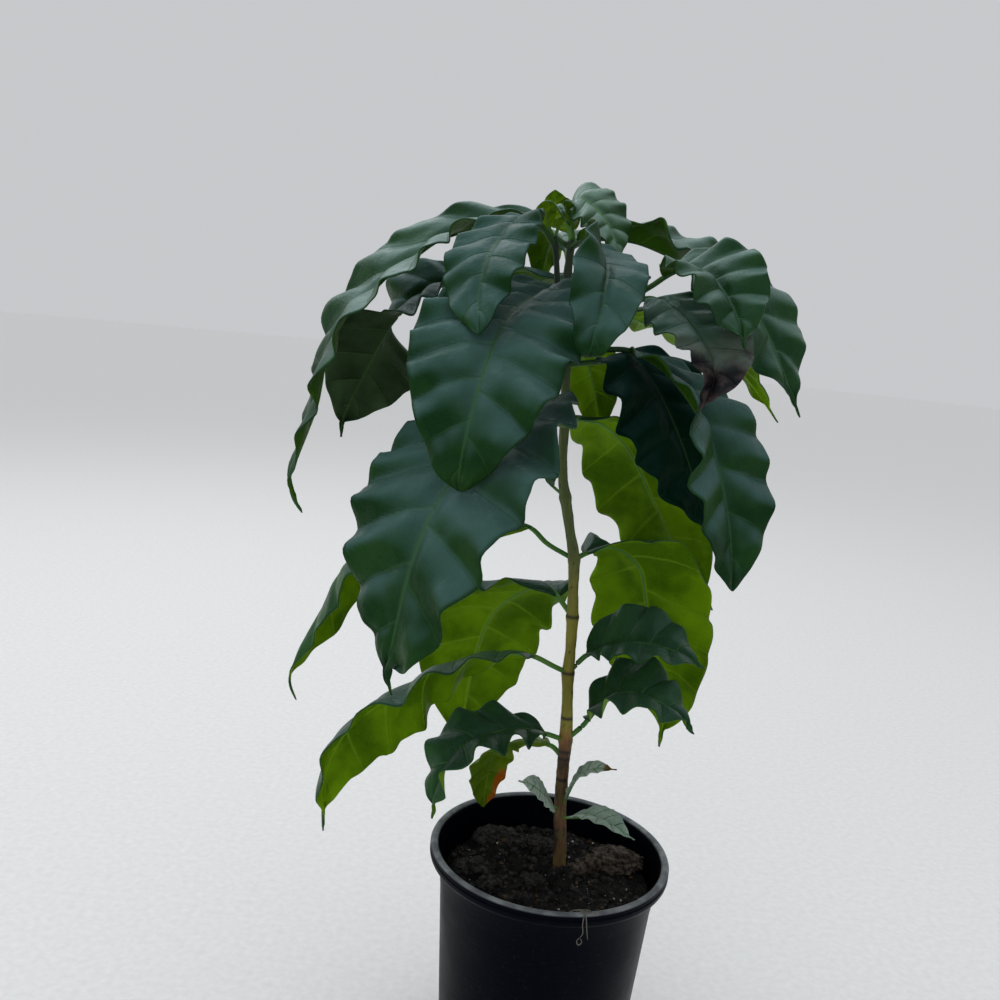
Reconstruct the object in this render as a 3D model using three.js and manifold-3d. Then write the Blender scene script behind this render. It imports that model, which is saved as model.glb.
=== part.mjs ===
import * as THREE from 'three';
import { mergeVertices } from 'three/addons/utils/BufferGeometryUtils.js';
import Module from 'manifold-3d';

// Potted coffee plant, in millimetres, +Z up, origin at the centre of the pot's underside.
// +X is right and +Y is away for someone who looks at the plant from its front.

const solids = await Module();
solids.setup();
const WELD = 1e-4;

// Pot
const POT_HEIGHT = 105;
const RIM_RADIUS = 57;
const RIM_HEIGHT = 6;
const RIM_WIDTH = 4.2;
const WALL = 1.3;
const EDGE = 1;
const SHOULDER_RADIUS = 53;
const SHOULDER_DROP = 2;
const COLLAR_DROP = 22;
const COLLAR_RADIUS = 50.6;
const BASE_RADIUS = 44.5;
const FLOOR = 2;
const DRAIN_RADIUS = 3.5;
const DRAIN_RING_RADIUS = 31;
const DRAINS = 8;
const DRAIN_SIDES = 12;
const DRAIN_CUT = 8;
const POT_SIDES = 56;

// Soil
const CLEARANCE = 0.3;
const SOIL_LEVEL = POT_HEIGHT - 14;
const SOIL_SIDES = 40;
const SOIL_EDGE_DROP = 2.5;
const SOIL_BROW_RADIUS = 35;
const SOIL_BROW_DROP = 1;
const STEM_SEAT_RADIUS = 9;

// Stem: its centre line leans a little to the left of the pot's axis and has a kink
const STEM_SIDES = 10;
const RINGS_PER_SPAN = 2;
const STEM_LINE = [
  [6, 0, SOIL_LEVEL + CLEARANCE, 4.4],
  [5.6, 0, 96, 3.3],
  [4.7, 0, 109, 2.9],
  [3.1, 0, 124, 2.9],
  [2.1, 0, 147, 2.8],
  [1.9, 0, 159, 3.2],
  [0.7, 0, 178, 2.5],
  [-0.5, 0, 192, 2.9],
  [-0.6, 0, 203, 2.4],
  [-1.4, 0, 219, 2.8],
  [-2.4, 0, 231, 2.3],
  [-3.6, 0, 246, 2.7],
  [-6.6, 0, 258, 2.2],
  [-10.6, 0, 274, 2.6],
  [-12.5, 0, 282, 2.1],
  [-13.9, 0, 295, 2],
  [-14.5, 0, 309, 2.4],
  [-15.9, 0, 324, 2],
  [-17.2, 0, 338, 2.3],
  [-18.7, 0, 352, 1.9],
  [-19.9, 0, 367, 2.2],
  [-20.1, 0, 377, 1.7],
  [-20, 0, 386, 1.7],
];

// Two thin shoots beside the top of the stem carry the leaves of the crown's middle
const SHOOT_SIDES = 8;
const SHOOT_RINGS_PER_SPAN = 3;
const SHOOT_NODE_DROP = 4;
const SHOOTS = [
  {
    name: 'left_shoot',
    line: [[-24.2, -3, 366, 1.4], [-25.6, -5, 376, 1.2], [-27.9, -7, 386.6, 1.3]],
  },
  {
    name: 'right_shoot',
    line: [[-12.6, 1, 336, 1.5], [-9.4, 3, 349.5, 1.3], [-4.9, 2, 363, 1.4]],
  },
];

// Leaf stalks
const STALK_RADIUS = 1.2;
const SMALL_STALK_RADIUS = 0.72;
const SMALL_LEAF = 20;
const STALK_RINGS = 3;
const STALK_GAP = 0.33;
const SEATING_ROUNDS = 3;
const LEAST_LEVEL_SHARE = 0.45;

// Leaf blades
const RING_STEP = 7;
const MIN_RINGS = 8;
const BUD_WIDTH = 12;
const BUD_RINGS = 5;
const ACROSS = [1, 0.6, 0, -0.6, -1];
const THICKNESS_PARTS = 0.011;
const LEAST_HALF_THICKNESS = 0.25;
const SIDE_THICKNESS = 0.85;
const EASE_SHARE = 0.2;
const OUTLINE_SKEW = 0.95;
const OUTLINE_FULLNESS = 0.72;
const TIP_SHARE = 0.93;
const TIP_START = 0.9;
const TIP_WIDTH = 0.05;
const TIP_TAPER = 0.12;
const TIP_FULLNESS = 0.6;
const TIP_HALF_WIDTH = 0.45;
const SIDE_DROOP = 0.12;
const OPEN_HALF_WIDTH = 4.8;
const RIPPLE_REACH = 1.8;
const RIPPLE_SLANT = 0.09;
const RIPPLE_OFFSET = 2.1;
const WAVE_PER_WIDTH = 0.036;
const USUAL_RIPPLES = 6.5;

// Each leaf starts on the stem at the height from, on a shoot below its tip or at start, and its
// midrib then passes the given points. heading is the compass way that the blade runs, 0 for +X and
// 90 for +Y, bank lifts the blade's left side, and left and right fold each half up from flat, in
// degrees. Lists of angles are spread evenly from the blade's base to its tip. A blunt leaf has no
// drip tip.
const LEAVES = [
  {
    name: 'leaf_front_upper',
    from: 367,
    midrib: [
      [-26, -12, 365], [-39, -43, 356], [-46, -70, 345], [-51, -91, 325], [-54, -99, 306],
      [-55, -98, 294], [-55, -94, 288],
    ],
    width: 64,
    heading: [264, 254],
    left: [30, 6, 4],
    right: [22, 8, 5],
    stalk: 9,
    ripples: 8,
    wave: 2.6,
    blunt: true,
  },
  {
    name: 'leaf_front_lower',
    from: 309,
    midrib: [
      [-22, -14, 315], [-38, -45, 309], [-53, -74, 296], [-63, -90, 280], [-69, -98, 260],
      [-73, -100, 233], [-75, -94, 220], [-73, -90, 208],
    ],
    width: 80,
    heading: [235, 228],
    bank: [0, 6],
    left: [38, 8, 8],
    right: [8],
    stalk: 14,
    ripples: 8,
    wave: 3,
  },
  {
    name: 'leaf_top_young',
    start: [-19.4, -0.3, 386.4],
    midrib: [
      [-21, 2, 394], [-21, 3, 401], [-18, 2, 404], [-12, 0, 401], [-6, -2, 395],
      [-2, -4, 388], [1, -5, 382],
    ],
    width: 31,
    heading: [335, 328, 318],
    bank: [36, 30, 20],
    left: [8],
    right: [8, 10],
    stalk: 6,
    blunt: true,
  },
  {
    name: 'leaf_top_left',
    from: 384,
    midrib: [[-22, 7, 392], [-25, 12, 398], [-28, 14, 403], [-29, 12, 408]],
    width: 16,
    heading: [270],
    left: [10],
    right: [10],
    stalk: 6,
    wave: 0.5,
    blunt: true,
  },
  {
    name: 'leaf_shoot_left',
    shoot: 0,
    midrib: [
      [-33, -12, 389], [-40, -22, 391], [-46, -33, 387], [-51, -47, 378], [-54, -60, 369],
      [-55, -70, 357], [-54, -77, 349], [-53, -80, 343],
    ],
    width: 37,
    heading: [225, 240],
    left: [30, 12, 0],
    right: [20, 8, 0],
    stalk: 13,
    blunt: true,
  },
  {
    name: 'leaf_shoot_right',
    from: 383,
    midrib: [
      [-16, -9, 386], [-12, -26, 381], [-9, -43, 376], [-8, -58, 370], [-9, -69, 364],
      [-10, -78, 355], [-12, -84, 348], [-13, -85, 341], [-13, -79, 339],
    ],
    width: 33,
    heading: [285, 275],
    left: [0, 10, 20],
    right: [85, 82, 60, 15, 0],
    stalk: 6,
    blunt: true,
  },
  {
    name: 'leaf_top_back',
    from: 376,
    midrib: [[-22, 12, 384], [-25, 26, 391], [-28, 40, 389], [-30, 52, 379], [-30, 58, 366]],
    width: 24,
    heading: [120, 110],
    left: [15],
    right: [15],
    stalk: 8,
  },
  {
    name: 'leaf_left_high',
    from: 383,
    midrib: [
      [-38, 6, 392], [-52, 4, 391], [-64, 2, 387], [-77, -1, 381], [-87, -6, 372],
      [-96, -11, 364], [-103, -15, 355], [-110, -19, 347], [-115, -22, 337],
      [-118, -24, 327], [-119, -25, 316], [-120, -26, 307], [-123, -27, 296],
      [-126, -28, 286], [-129, -28, 275], [-127, -28, 267], [-123, -28, 261],
    ],
    width: 44,
    heading: [188, 188, 190, 188, 185, 190, 195],
    bank: [-8, -10, -10, -8, 0, 0],
    left: [30, 30, 8, 5, 4, 20, 0],
    right: [38, 40, 32, 25, 16, 20, 8],
    stalk: 8,
    ripples: 8.5,
    wave: 2.2,
  },
  {
    name: 'leaf_left_upper',
    from: 338,
    midrib: [
      [-35, 4, 353], [-51, 6, 362], [-66, 8, 364], [-78, 8, 361], [-87, 8, 354],
      [-94, 8, 346], [-99, 7, 337], [-103, 6, 327], [-107, 5, 317], [-111, 4, 307],
      [-114, 4, 298], [-114, 4, 291],
    ],
    width: 52,
    heading: [188, 188, 180, 140, 100, 92, 90],
    bank: [-5, -8, 0, 0],
    left: [20, 0, 0, 0, 5],
    right: [50, 45, 20, 5, 5],
    stalk: 50,
    ripples: 8,
    wave: 2,
  },
  {
    name: 'leaf_left_middle',
    from: 246,
    midrib: [
      [-16, 10, 250], [-26, 18, 256], [-53, 26, 254], [-86, 26, 244], [-110, 22, 228],
      [-120, 20, 206], [-129, 16, 185], [-132, 14, 170], [-128, 12, 161],
    ],
    width: 40,
    heading: [183, 186, 200],
    left: [-5],
    right: [-60, -70],
    stalk: 26,
  },
  {
    name: 'leaf_back_left',
    from: 219,
    midrib: [
      [-7, 8, 224], [-13, 20, 228], [-25, 40, 218], [-38, 54, 201], [-45, 60, 175],
      [-49, 62, 131],
    ],
    width: 70,
    heading: [115, 105],
    left: [8],
    right: [8],
    stalk: 12,
    blunt: true,
  },
  {
    name: 'leaf_left_low',
    from: 192,
    midrib: [
      [-7, -2, 195], [-20, -6, 201], [-40, -16, 203], [-59, -26, 198], [-75, -36, 189],
      [-94, -44, 174], [-102, -48, 155], [-101, -50, 129],
    ],
    width: 50,
    heading: [192, 188, 177],
    left: [12, 20, 20, 0],
    right: [-38, -50, -80, -95],
    stalk: 17,
  },
  {
    name: 'leaf_left_bottom',
    from: 159,
    midrib: [
      [-8, -4, 163], [-18, -10, 167], [-34, -20, 167], [-47, -28, 162], [-54, -34, 149],
      [-56, -36, 132],
    ],
    width: 36,
    heading: [195, 205],
    bank: [-10, 0],
    left: [15, 25],
    right: [15, 25],
    stalk: 9,
    ripples: 5,
    wave: 3.2,
  },
  {
    name: 'leaf_left_scorched',
    from: 150,
    midrib: [[-4, 6, 153], [-18, 16, 150], [-30, 22, 140], [-33, 26, 123], [-33, 27, 108]],
    width: 28,
    heading: [150, 120],
    left: [0],
    right: [0],
    stalk: 8,
    blunt: true,
  },
  {
    name: 'leaf_right_high',
    from: 383,
    midrib: [
      [-12, 8, 388], [-2, 15, 390], [10, 19, 390], [24, 19, 386], [44, 17, 378],
      [61, 13, 368], [72, 8, 354], [81, 4, 337], [89, 1, 320],
    ],
    width: 56,
    heading: [5, 0, -20, -50, -60],
    bank: [5, 12, 16, 0],
    left: [35, 25, 10],
    right: [40, 40, 5, -15, 0, 10],
    stalk: 12,
    ripples: 7.5,
    wave: 2.4,
  },
  {
    name: 'leaf_right_fold',
    shoot: 1,
    midrib: [
      [6, -6, 363], [14, -17, 369], [23, -28, 376], [32, -40, 375], [38, -50, 368],
      [43, -57, 359], [47, -62, 347],
    ],
    width: 40,
    heading: [-45, -75],
    bank: [5],
    left: [45, 45, 35],
    right: [16, 16, 12],
    stalk: 38,
    ripples: 6,
    wave: 1.8,
  },
  {
    name: 'leaf_right_dry_tip',
    from: 352,
    midrib: [
      [-8, -5, 355], [4, -13, 361], [14, -22, 364], [22, -36, 361], [30, -50, 352],
      [36, -60, 341], [35, -67, 331], [30, -71, 322],
    ],
    width: 38,
    heading: [-45, -60, -90],
    bank: [20, 30, 10, 0],
    left: [5, 8, 25, 60],
    right: [15, 15, 30, 60],
    stalk: 42,
  },
  {
    name: 'leaf_right_back_high',
    from: 363,
    midrib: [
      [-8, 10, 361], [8, 24, 358], [29, 37, 353], [51, 48, 347], [73, 55, 336],
      [95, 58, 313],
    ],
    width: 42,
    heading: [42, 32, 16],
    left: [8],
    right: [15, 8],
    stalk: 8,
    ripples: 6,
  },
  {
    name: 'leaf_right_front',
    from: 338,
    midrib: [
      [-3, -9, 341], [8, -20, 342], [18, -32, 338], [28, -43, 329], [38, -50, 315],
      [45, -54, 298], [51, -58, 277], [55, -60, 253],
    ],
    width: 52,
    heading: [-45, -70],
    left: [8, 12],
    right: [10, 45, 30, 25],
    stalk: 32,
    blunt: true,
  },
  {
    name: 'leaf_right_shade',
    from: 333,
    midrib: [
      [-2, -4, 336], [10, -16, 339], [21, -26, 327], [33, -32, 306], [42, -36, 285],
      [49, -38, 268],
    ],
    width: 60,
    heading: [-40, -70],
    bank: [12, 0],
    left: [10],
    right: [10],
    stalk: 14,
  },
  {
    name: 'leaf_back_right_high',
    from: 345,
    midrib: [[-16, 14, 347], [-10, 34, 342], [-2, 48, 329], [4, 54, 311], [9, 54, 295]],
    width: 32,
    heading: [80],
    left: [6],
    right: [6],
    stalk: 8,
  },
  {
    name: 'leaf_back_right_middle',
    from: 309,
    midrib: [
      [-5, 12, 309], [6, 26, 306], [20, 36, 294],
      [35, 42, 271], [52, 44, 244], [72, 44, 217],
    ],
    width: 60,
    heading: [75, 60],
    left: [8],
    right: [8],
    stalk: 8,
  },
  {
    name: 'leaf_back_right_low',
    from: 246,
    midrib: [
      [4, 10, 248], [16, 18, 250], [30, 26, 240], [38, 30, 215], [46, 32, 190],
      [52, 32, 169], [52, 32, 147],
    ],
    width: 64,
    heading: [50, 60],
    left: [6],
    right: [34, 10, 6],
    stalk: 8,
  },
  {
    name: 'leaf_right_low',
    from: 192,
    midrib: [
      [4, 0, 198], [8, -2, 203], [18, -6, 209], [31, -14, 214], [46, -20, 213],
      [57, -22, 208],
    ],
    width: 40,
    heading: [-15, -20],
    bank: [15, 10],
    left: [60, 35, 10],
    right: [20, 10],
    stalk: 9,
    ripples: 5,
  },
  {
    name: 'leaf_right_bottom',
    from: 159,
    midrib: [
      [9, -2, 168], [15, -8, 181], [25, -18, 192],
      [36, -26, 193], [47, -30, 188], [54, -32, 181],
    ],
    width: 38,
    heading: [-20, -30],
    bank: [10, 5],
    left: [50, 30, 10],
    right: [10],
    stalk: 13,
    ripples: 5,
    wave: 2.6,
  },
  {
    name: 'leaf_left_small',
    from: 274,
    midrib: [[-18, 6, 279], [-22, 12, 283], [-28, 15, 281], [-33, 18, 273], [-36, 20, 264]],
    width: 18,
    heading: [170, 160],
    left: [15],
    right: [15],
    stalk: 6,
  },
  {
    name: 'leaf_back_high',
    from: 367,
    midrib: [[-25, 16, 371], [-31, 36, 370], [-40, 58, 361], [-45, 72, 340], [-46, 80, 314]],
    width: 50,
    heading: [110, 115],
    left: [12],
    right: [12],
    stalk: 8,
  },
  {
    name: 'leaf_first_left',
    from: 124,
    midrib: [[-1, -5, 128], [-7, -12, 137], [-13, -16, 143], [-19, -18, 145]],
    width: 16,
    heading: [215],
    bank: [-40],
    left: [10],
    right: [10],
    stalk: 4,
    wave: 0.3,
  },
  {
    name: 'leaf_first_right',
    from: 124,
    midrib: [[5, -4, 133], [9, -8, 145], [16, -12, 152], [25, -16, 154]],
    width: 11,
    heading: [-30],
    bank: [30],
    left: [20],
    right: [20],
    stalk: 4,
    wave: 0.3,
  },
  {
    name: 'leaf_first_front',
    from: 120,
    midrib: [[10, -8, 125], [16, -16, 130], [25, -24, 131], [35, -28, 127]],
    width: 18,
    heading: [-40, -45],
    left: [20],
    right: [20],
    stalk: 4,
    wave: 0.3,
  },
  {
    name: 'leaf_bud_arched',
    start: [-28.7, -7.7, 386.95],
    midrib: [
      [-31, -10, 391], [-32, -13, 395], [-29, -15, 397.5], [-26, -15, 396],
      [-24.5, -14, 392.5],
    ],
    width: 10,
    heading: [270, 300, 330],
    left: [20],
    right: [20],
    stalk: 3,
    wave: 0,
  },
  {
    name: 'leaf_bud_curled',
    start: [-27.2, -6.3, 386.95],
    midrib: [[-26.5, -7, 390], [-25, -8.5, 393], [-22.5, -8.5, 393.5]],
    width: 7,
    heading: [330],
    left: [25],
    right: [25],
    stalk: 3,
    wave: 0,
  },
];

const MATERIALS = {
  pot: new THREE.MeshStandardMaterial({ color: 0x10131a, roughness: 0.55 }),
  soil: new THREE.MeshStandardMaterial({ color: 0x2a231d, roughness: 1 }),
  stem: new THREE.MeshStandardMaterial({ color: 0x6b6b2a, roughness: 0.8 }),
  leaf: new THREE.MeshStandardMaterial({ color: 0x2f5a45, roughness: 0.5 }),
};

// The value at a share of the way through a list whose entries are spread evenly
function spread(values, share) {
  const place = share * (values.length - 1);
  const low = Math.floor(place);
  const high = Math.min(low + 1, values.length - 1);
  return values[low] + (values[high] - values[low]) * (place - low);
}

function radiansAt(angles, share) {
  return THREE.MathUtils.degToRad(spread(angles, share));
}

// A closed solid over a run of rings that all have the same number of points, with flat ends. The
// faces of a ring's two halves are split the opposite way, so that the two skins of a thin blade,
// which the halves make, stay parallel.
function loft(rings) {
  const count = rings[0].length;
  const positions = [];
  const corner = (point) => positions.push(point.x, point.y, point.z);
  for (let ring = 0; ring < rings.length - 1; ring += 1) {
    const lower = rings[ring];
    const upper = rings[ring + 1];
    for (let side = 0; side < count; side += 1) {
      const next = (side + 1) % count;
      if (side < count / 2) {
        [lower[side], lower[next], upper[next]].forEach(corner);
        [lower[side], upper[next], upper[side]].forEach(corner);
      } else {
        [lower[side], lower[next], upper[side]].forEach(corner);
        [lower[next], upper[next], upper[side]].forEach(corner);
      }
    }
  }
  const first = rings[0];
  const last = rings[rings.length - 1];
  for (let side = 1; side < count - 1; side += 1) {
    [first[0], first[side + 1], first[side]].forEach(corner);
    [last[0], last[side], last[side + 1]].forEach(corner);
  }
  const geometry = new THREE.BufferGeometry();
  geometry.setAttribute('position', new THREE.Float32BufferAttribute(positions, 3));
  return mergeVertices(geometry, WELD);
}

function toManifold(geometry) {
  const plain = new THREE.BufferGeometry();
  plain.setAttribute('position', geometry.getAttribute('position'));
  plain.setIndex(geometry.index);
  const merged = mergeVertices(plain, WELD);
  return solids.Manifold.ofMesh(
    new solids.Mesh({
      numProp: 3,
      vertProperties: Float32Array.from(merged.getAttribute('position').array),
      triVerts: Uint32Array.from(merged.index.array),
    }),
  );
}

function fromManifold(solid) {
  const mesh = solid.getMesh();
  const geometry = new THREE.BufferGeometry();
  geometry.setAttribute('position', new THREE.Float32BufferAttribute(mesh.vertProperties, 3));
  geometry.setIndex(new THREE.Uint32BufferAttribute(mesh.triVerts, 1));
  return geometry;
}

// A solid of revolution about +Z from a list of [radius, height]
function turned(outline, sides) {
  const points = outline.map(([radius, height]) => new THREE.Vector2(radius, height));
  const geometry = new THREE.LatheGeometry(points, sides);
  geometry.rotateX(Math.PI / 2);
  return geometry;
}

function drain(index) {
  const angle = (index / DRAINS) * 2 * Math.PI;
  const hole = new THREE.CylinderGeometry(DRAIN_RADIUS, DRAIN_RADIUS, DRAIN_CUT, DRAIN_SIDES);
  hole.rotateX(Math.PI / 2);
  hole.translate(DRAIN_RING_RADIUS * Math.cos(angle), DRAIN_RING_RADIUS * Math.sin(angle), 0);
  return toManifold(hole);
}

// A tapering wall that flares into a rolled rim, over a flat floor with a ring of drain holes
function pot() {
  const knee = POT_HEIGHT - COLLAR_DROP;
  const rimFoot = POT_HEIGHT - RIM_HEIGHT;
  const shoulder = rimFoot - SHOULDER_DROP;
  const rimInner = RIM_RADIUS - RIM_WIDTH;
  const body = turned(
    [
      [0, 0],
      [BASE_RADIUS - EDGE, 0],
      [BASE_RADIUS, EDGE],
      [COLLAR_RADIUS, knee],
      [SHOULDER_RADIUS, shoulder],
      [RIM_RADIUS - EDGE, rimFoot],
      [RIM_RADIUS, rimFoot + EDGE],
      [RIM_RADIUS, POT_HEIGHT - EDGE],
      [RIM_RADIUS - EDGE, POT_HEIGHT],
      [rimInner + EDGE, POT_HEIGHT],
      [rimInner, POT_HEIGHT - EDGE],
      [SHOULDER_RADIUS - WALL, shoulder],
      [COLLAR_RADIUS - WALL, knee],
      [BASE_RADIUS - WALL, FLOOR],
      [0, FLOOR],
    ],
    POT_SIDES,
  );
  let solid = toManifold(body);
  for (let index = 0; index < DRAINS; index += 1) {
    solid = solid.subtract(drain(index));
  }
  return fromManifold(solid);
}

// The root ball fills the pot just clear of its wall and domes up to a flat seat under the stem
function soil() {
  const foot = BASE_RADIUS - WALL - CLEARANCE;
  const top = COLLAR_RADIUS - WALL - CLEARANCE;
  return turned(
    [
      [0, FLOOR + CLEARANCE],
      [foot, FLOOR + CLEARANCE],
      [top, POT_HEIGHT - COLLAR_DROP],
      [top, SOIL_LEVEL - SOIL_EDGE_DROP],
      [SOIL_BROW_RADIUS, SOIL_LEVEL - SOIL_BROW_DROP],
      [STEM_SEAT_RADIUS, SOIL_LEVEL],
      [0, SOIL_LEVEL],
    ],
    SOIL_SIDES,
  );
}

// A tapering limb along a line of [x, y, z, radius], with level ends
function limbSolid(line, sides, ringsPerSpan) {
  const curve = new THREE.CatmullRomCurve3(line.map(([x, y, z]) => new THREE.Vector3(x, y, z)));
  const radii = line.map((point) => point[3]);
  const steps = (line.length - 1) * ringsPerSpan;
  const rings = [];
  for (let step = 0; step <= steps; step += 1) {
    const centre = curve.getPoint(step / steps);
    const radius = spread(radii, step / steps);
    const ring = [];
    for (let side = 0; side < sides; side += 1) {
      const angle = (side / sides) * 2 * Math.PI;
      const arm = new THREE.Vector3(radius * Math.cos(angle), radius * Math.sin(angle), 0);
      ring.push(centre.clone().add(arm));
    }
    rings.push(ring);
  }
  return loft(rings);
}

// The centre and radius of a limb at a height
function limbAt(line, height) {
  const upper = Math.max(line.findIndex((point) => point[2] >= height), 1);
  const below = line[upper - 1];
  const above = line[upper];
  const share = (height - below[2]) / (above[2] - below[2]);
  const [x, y, z, radius] = below.map((value, index) => value + (above[index] - value) * share);
  return { centre: new THREE.Vector3(x, y, z), radius };
}

// The limb that carries a leaf, and the height of its node
function seatOf(leaf) {
  if (leaf.from) return { line: STEM_LINE, height: leaf.from };
  const { line } = SHOOTS[leaf.shoot];
  return { line, height: line[line.length - 1][2] - SHOOT_NODE_DROP };
}

// Half the blade's width at a share of its length: a full oval that ends in a drip tip, or blunt
function halfWidth(leaf, share) {
  const body = Math.min(share / (leaf.blunt ? 1 : TIP_SHARE), 1);
  const full = Math.max(Math.sin(Math.PI * body ** OUTLINE_SKEW), 0) ** OUTLINE_FULLNESS;
  const tip = TIP_WIDTH * Math.min((1 - share) / TIP_TAPER, 1) ** TIP_FULLNESS;
  return (leaf.width / 2) * Math.max(full, tip);
}

// The frame of a leaf at a share of its blade: the midrib's place, its side and its upper normal
function leafFrame(leaf, curve, share, along) {
  const centre = curve.getPointAt(along);
  const way = curve.getTangentAt(along);
  const heading = radiansAt(leaf.heading, share);
  const bank = radiansAt(leaf.bank ?? [0], share);
  const side = new THREE.Vector3(
    -Math.sin(heading) * Math.cos(bank),
    Math.cos(heading) * Math.cos(bank),
    Math.sin(bank),
  );
  side.addScaledVector(way, -side.dot(way)).normalize();
  return { centre, side, up: way.clone().cross(side) };
}

// How far a margin ripples up or down, at a distance out from 0 at the midrib to 1 at the margin
function rippleAt(leaf, share, out, offset) {
  const wave = leaf.wave ?? WAVE_PER_WIDTH * leaf.width;
  const turn = 2 * Math.PI * (leaf.ripples ?? USUAL_RIPPLES) * (share - RIPPLE_SLANT * out);
  const swell = Math.sqrt(Math.sin(Math.PI * share));
  return wave * out ** RIPPLE_REACH * Math.sin(turn + offset) * swell;
}

// A place on the middle of the blade, across from -1 at the right margin to 1 at the left, and the
// upper normal there
function bladePoint(leaf, frame, share, across, half) {
  const left = across > 0;
  const out = Math.abs(across);
  const open = Math.min(half / OPEN_HALF_WIDTH, 1);
  const fold = radiansAt(left ? leaf.left : leaf.right, share) * open;
  const lift = rippleAt(leaf, share, out, left ? 0 : RIPPLE_OFFSET) - SIDE_DROOP * half * out * out * open;
  const sideways = frame.side.clone().multiplyScalar(left ? 1 : -1);
  const outward = sideways.clone().multiplyScalar(Math.cos(fold));
  outward.addScaledVector(frame.up, Math.sin(fold));
  const normal = frame.up.clone().multiplyScalar(Math.cos(fold));
  normal.addScaledVector(sideways, -Math.sin(fold));
  const place = frame.centre.clone().addScaledVector(outward, half * out).addScaledVector(normal, lift);
  return { place, normal: across === 0 ? frame.up : normal };
}

function leafRing(leaf, frame, share, half, thick) {
  const places = ACROSS.map((across) => bladePoint(leaf, frame, share, across, half));
  const raised = (index, amount) => {
    return places[index].place.clone().addScaledVector(places[index].normal, amount);
  };
  const side = thick * SIDE_THICKNESS;
  const upper = [raised(1, side), raised(2, thick), raised(3, side)];
  const under = [raised(3, -side), raised(2, -thick), raised(1, -side)];
  return [places[0].place, ...upper, places[4].place, ...under];
}

// Half the blade's thickness, easing from the stalk into the blade and thinning again at the tip
function halfThickness(stalkRadius, length, share) {
  const blade = Math.max((THICKNESS_PARTS * length) / 2, LEAST_HALF_THICKNESS);
  const eased = THREE.MathUtils.lerp(stalkRadius, blade, Math.min(share / EASE_SHARE, 1));
  const tipShare = Math.max((share - TIP_START) / (1 - TIP_START), 0);
  return THREE.MathUtils.lerp(eased, TIP_HALF_WIDTH, tipShare);
}

function stalkRadiusOf(leaf) {
  return leaf.width < SMALL_LEAF ? SMALL_STALK_RADIUS : STALK_RADIUS;
}

function midribFrom(leaf, start) {
  const points = leaf.midrib.map((point) => new THREE.Vector3(...point));
  return new THREE.CatmullRomCurve3([start, ...points], false, 'centripetal');
}

function stalkRing(leaf, curve, along) {
  const radius = stalkRadiusOf(leaf);
  return leafRing({ ...leaf, wave: 0 }, leafFrame(leaf, curve, 0, along), 0, radius, radius);
}

// The stalk starts where its first ring lies just clear of the limb's surface
function leafCurve(leaf) {
  if (leaf.start) return midribFrom(leaf, new THREE.Vector3(...leaf.start));
  const { line, height } = seatOf(leaf);
  const { centre, radius } = limbAt(line, height);
  const way = new THREE.Vector3(...leaf.midrib[0]).sub(centre).normalize();
  const level = Math.max(Math.hypot(way.x, way.y), LEAST_LEVEL_SHARE);
  const start = centre.clone().addScaledVector(way, (radius + STALK_GAP) / level);
  for (let round = 0; round < SEATING_ROUNDS; round += 1) {
    const gaps = stalkRing(leaf, midribFrom(leaf, start), 0).map((point) => {
      const limb = limbAt(line, Math.min(point.z, line[line.length - 1][2]));
      return Math.hypot(point.x - limb.centre.x, point.y - limb.centre.y) - limb.radius;
    });
    start.addScaledVector(way, (STALK_GAP - Math.min(...gaps)) / level);
  }
  return midribFrom(leaf, start);
}

function leafSolid(leaf) {
  const curve = leafCurve(leaf);
  const length = curve.getLength();
  const stalkShare = leaf.stalk / length;
  const stalkRadius = stalkRadiusOf(leaf);
  const rings = [];
  for (let ring = 0; ring < STALK_RINGS; ring += 1) {
    rings.push(stalkRing(leaf, curve, (stalkShare * ring) / STALK_RINGS));
  }
  const leastSteps = leaf.width < BUD_WIDTH ? BUD_RINGS : MIN_RINGS;
  const steps = Math.max(leastSteps, Math.round((length - leaf.stalk) / RING_STEP));
  for (let step = 0; step <= steps; step += 1) {
    const share = step / steps;
    const least = THREE.MathUtils.lerp(stalkRadius, TIP_HALF_WIDTH, share);
    const half = Math.max(halfWidth(leaf, share), least);
    const frame = leafFrame(leaf, curve, share, stalkShare + (1 - stalkShare) * share);
    rings.push(leafRing(leaf, frame, share, half, halfThickness(stalkRadius, length, share)));
  }
  return loft(rings);
}

const plant = new THREE.Group();

function add(name, geometry, material) {
  const mesh = new THREE.Mesh(geometry, material);
  mesh.name = name;
  plant.add(mesh);
}

add('pot', pot(), MATERIALS.pot);
add('soil', soil(), MATERIALS.soil);
add('stem', limbSolid(STEM_LINE, STEM_SIDES, RINGS_PER_SPAN), MATERIALS.stem);
for (const shoot of SHOOTS) {
  add(shoot.name, limbSolid(shoot.line, SHOOT_SIDES, SHOOT_RINGS_PER_SPAN), MATERIALS.stem);
}
for (const leaf of LEAVES) {
  add(leaf.name, leafSolid(leaf), MATERIALS.leaf);
}

export default plant;
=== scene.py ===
"""A young coffee plant in a black nursery pot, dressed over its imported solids.

Leaf rows, limbs, pot and soil are in millimetres and are turned into metres where a mesh is made.
Heights in materials are in metres.
"""

import math

import bpy
import numpy as np
from mathutils import Matrix, Vector, noise


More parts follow.
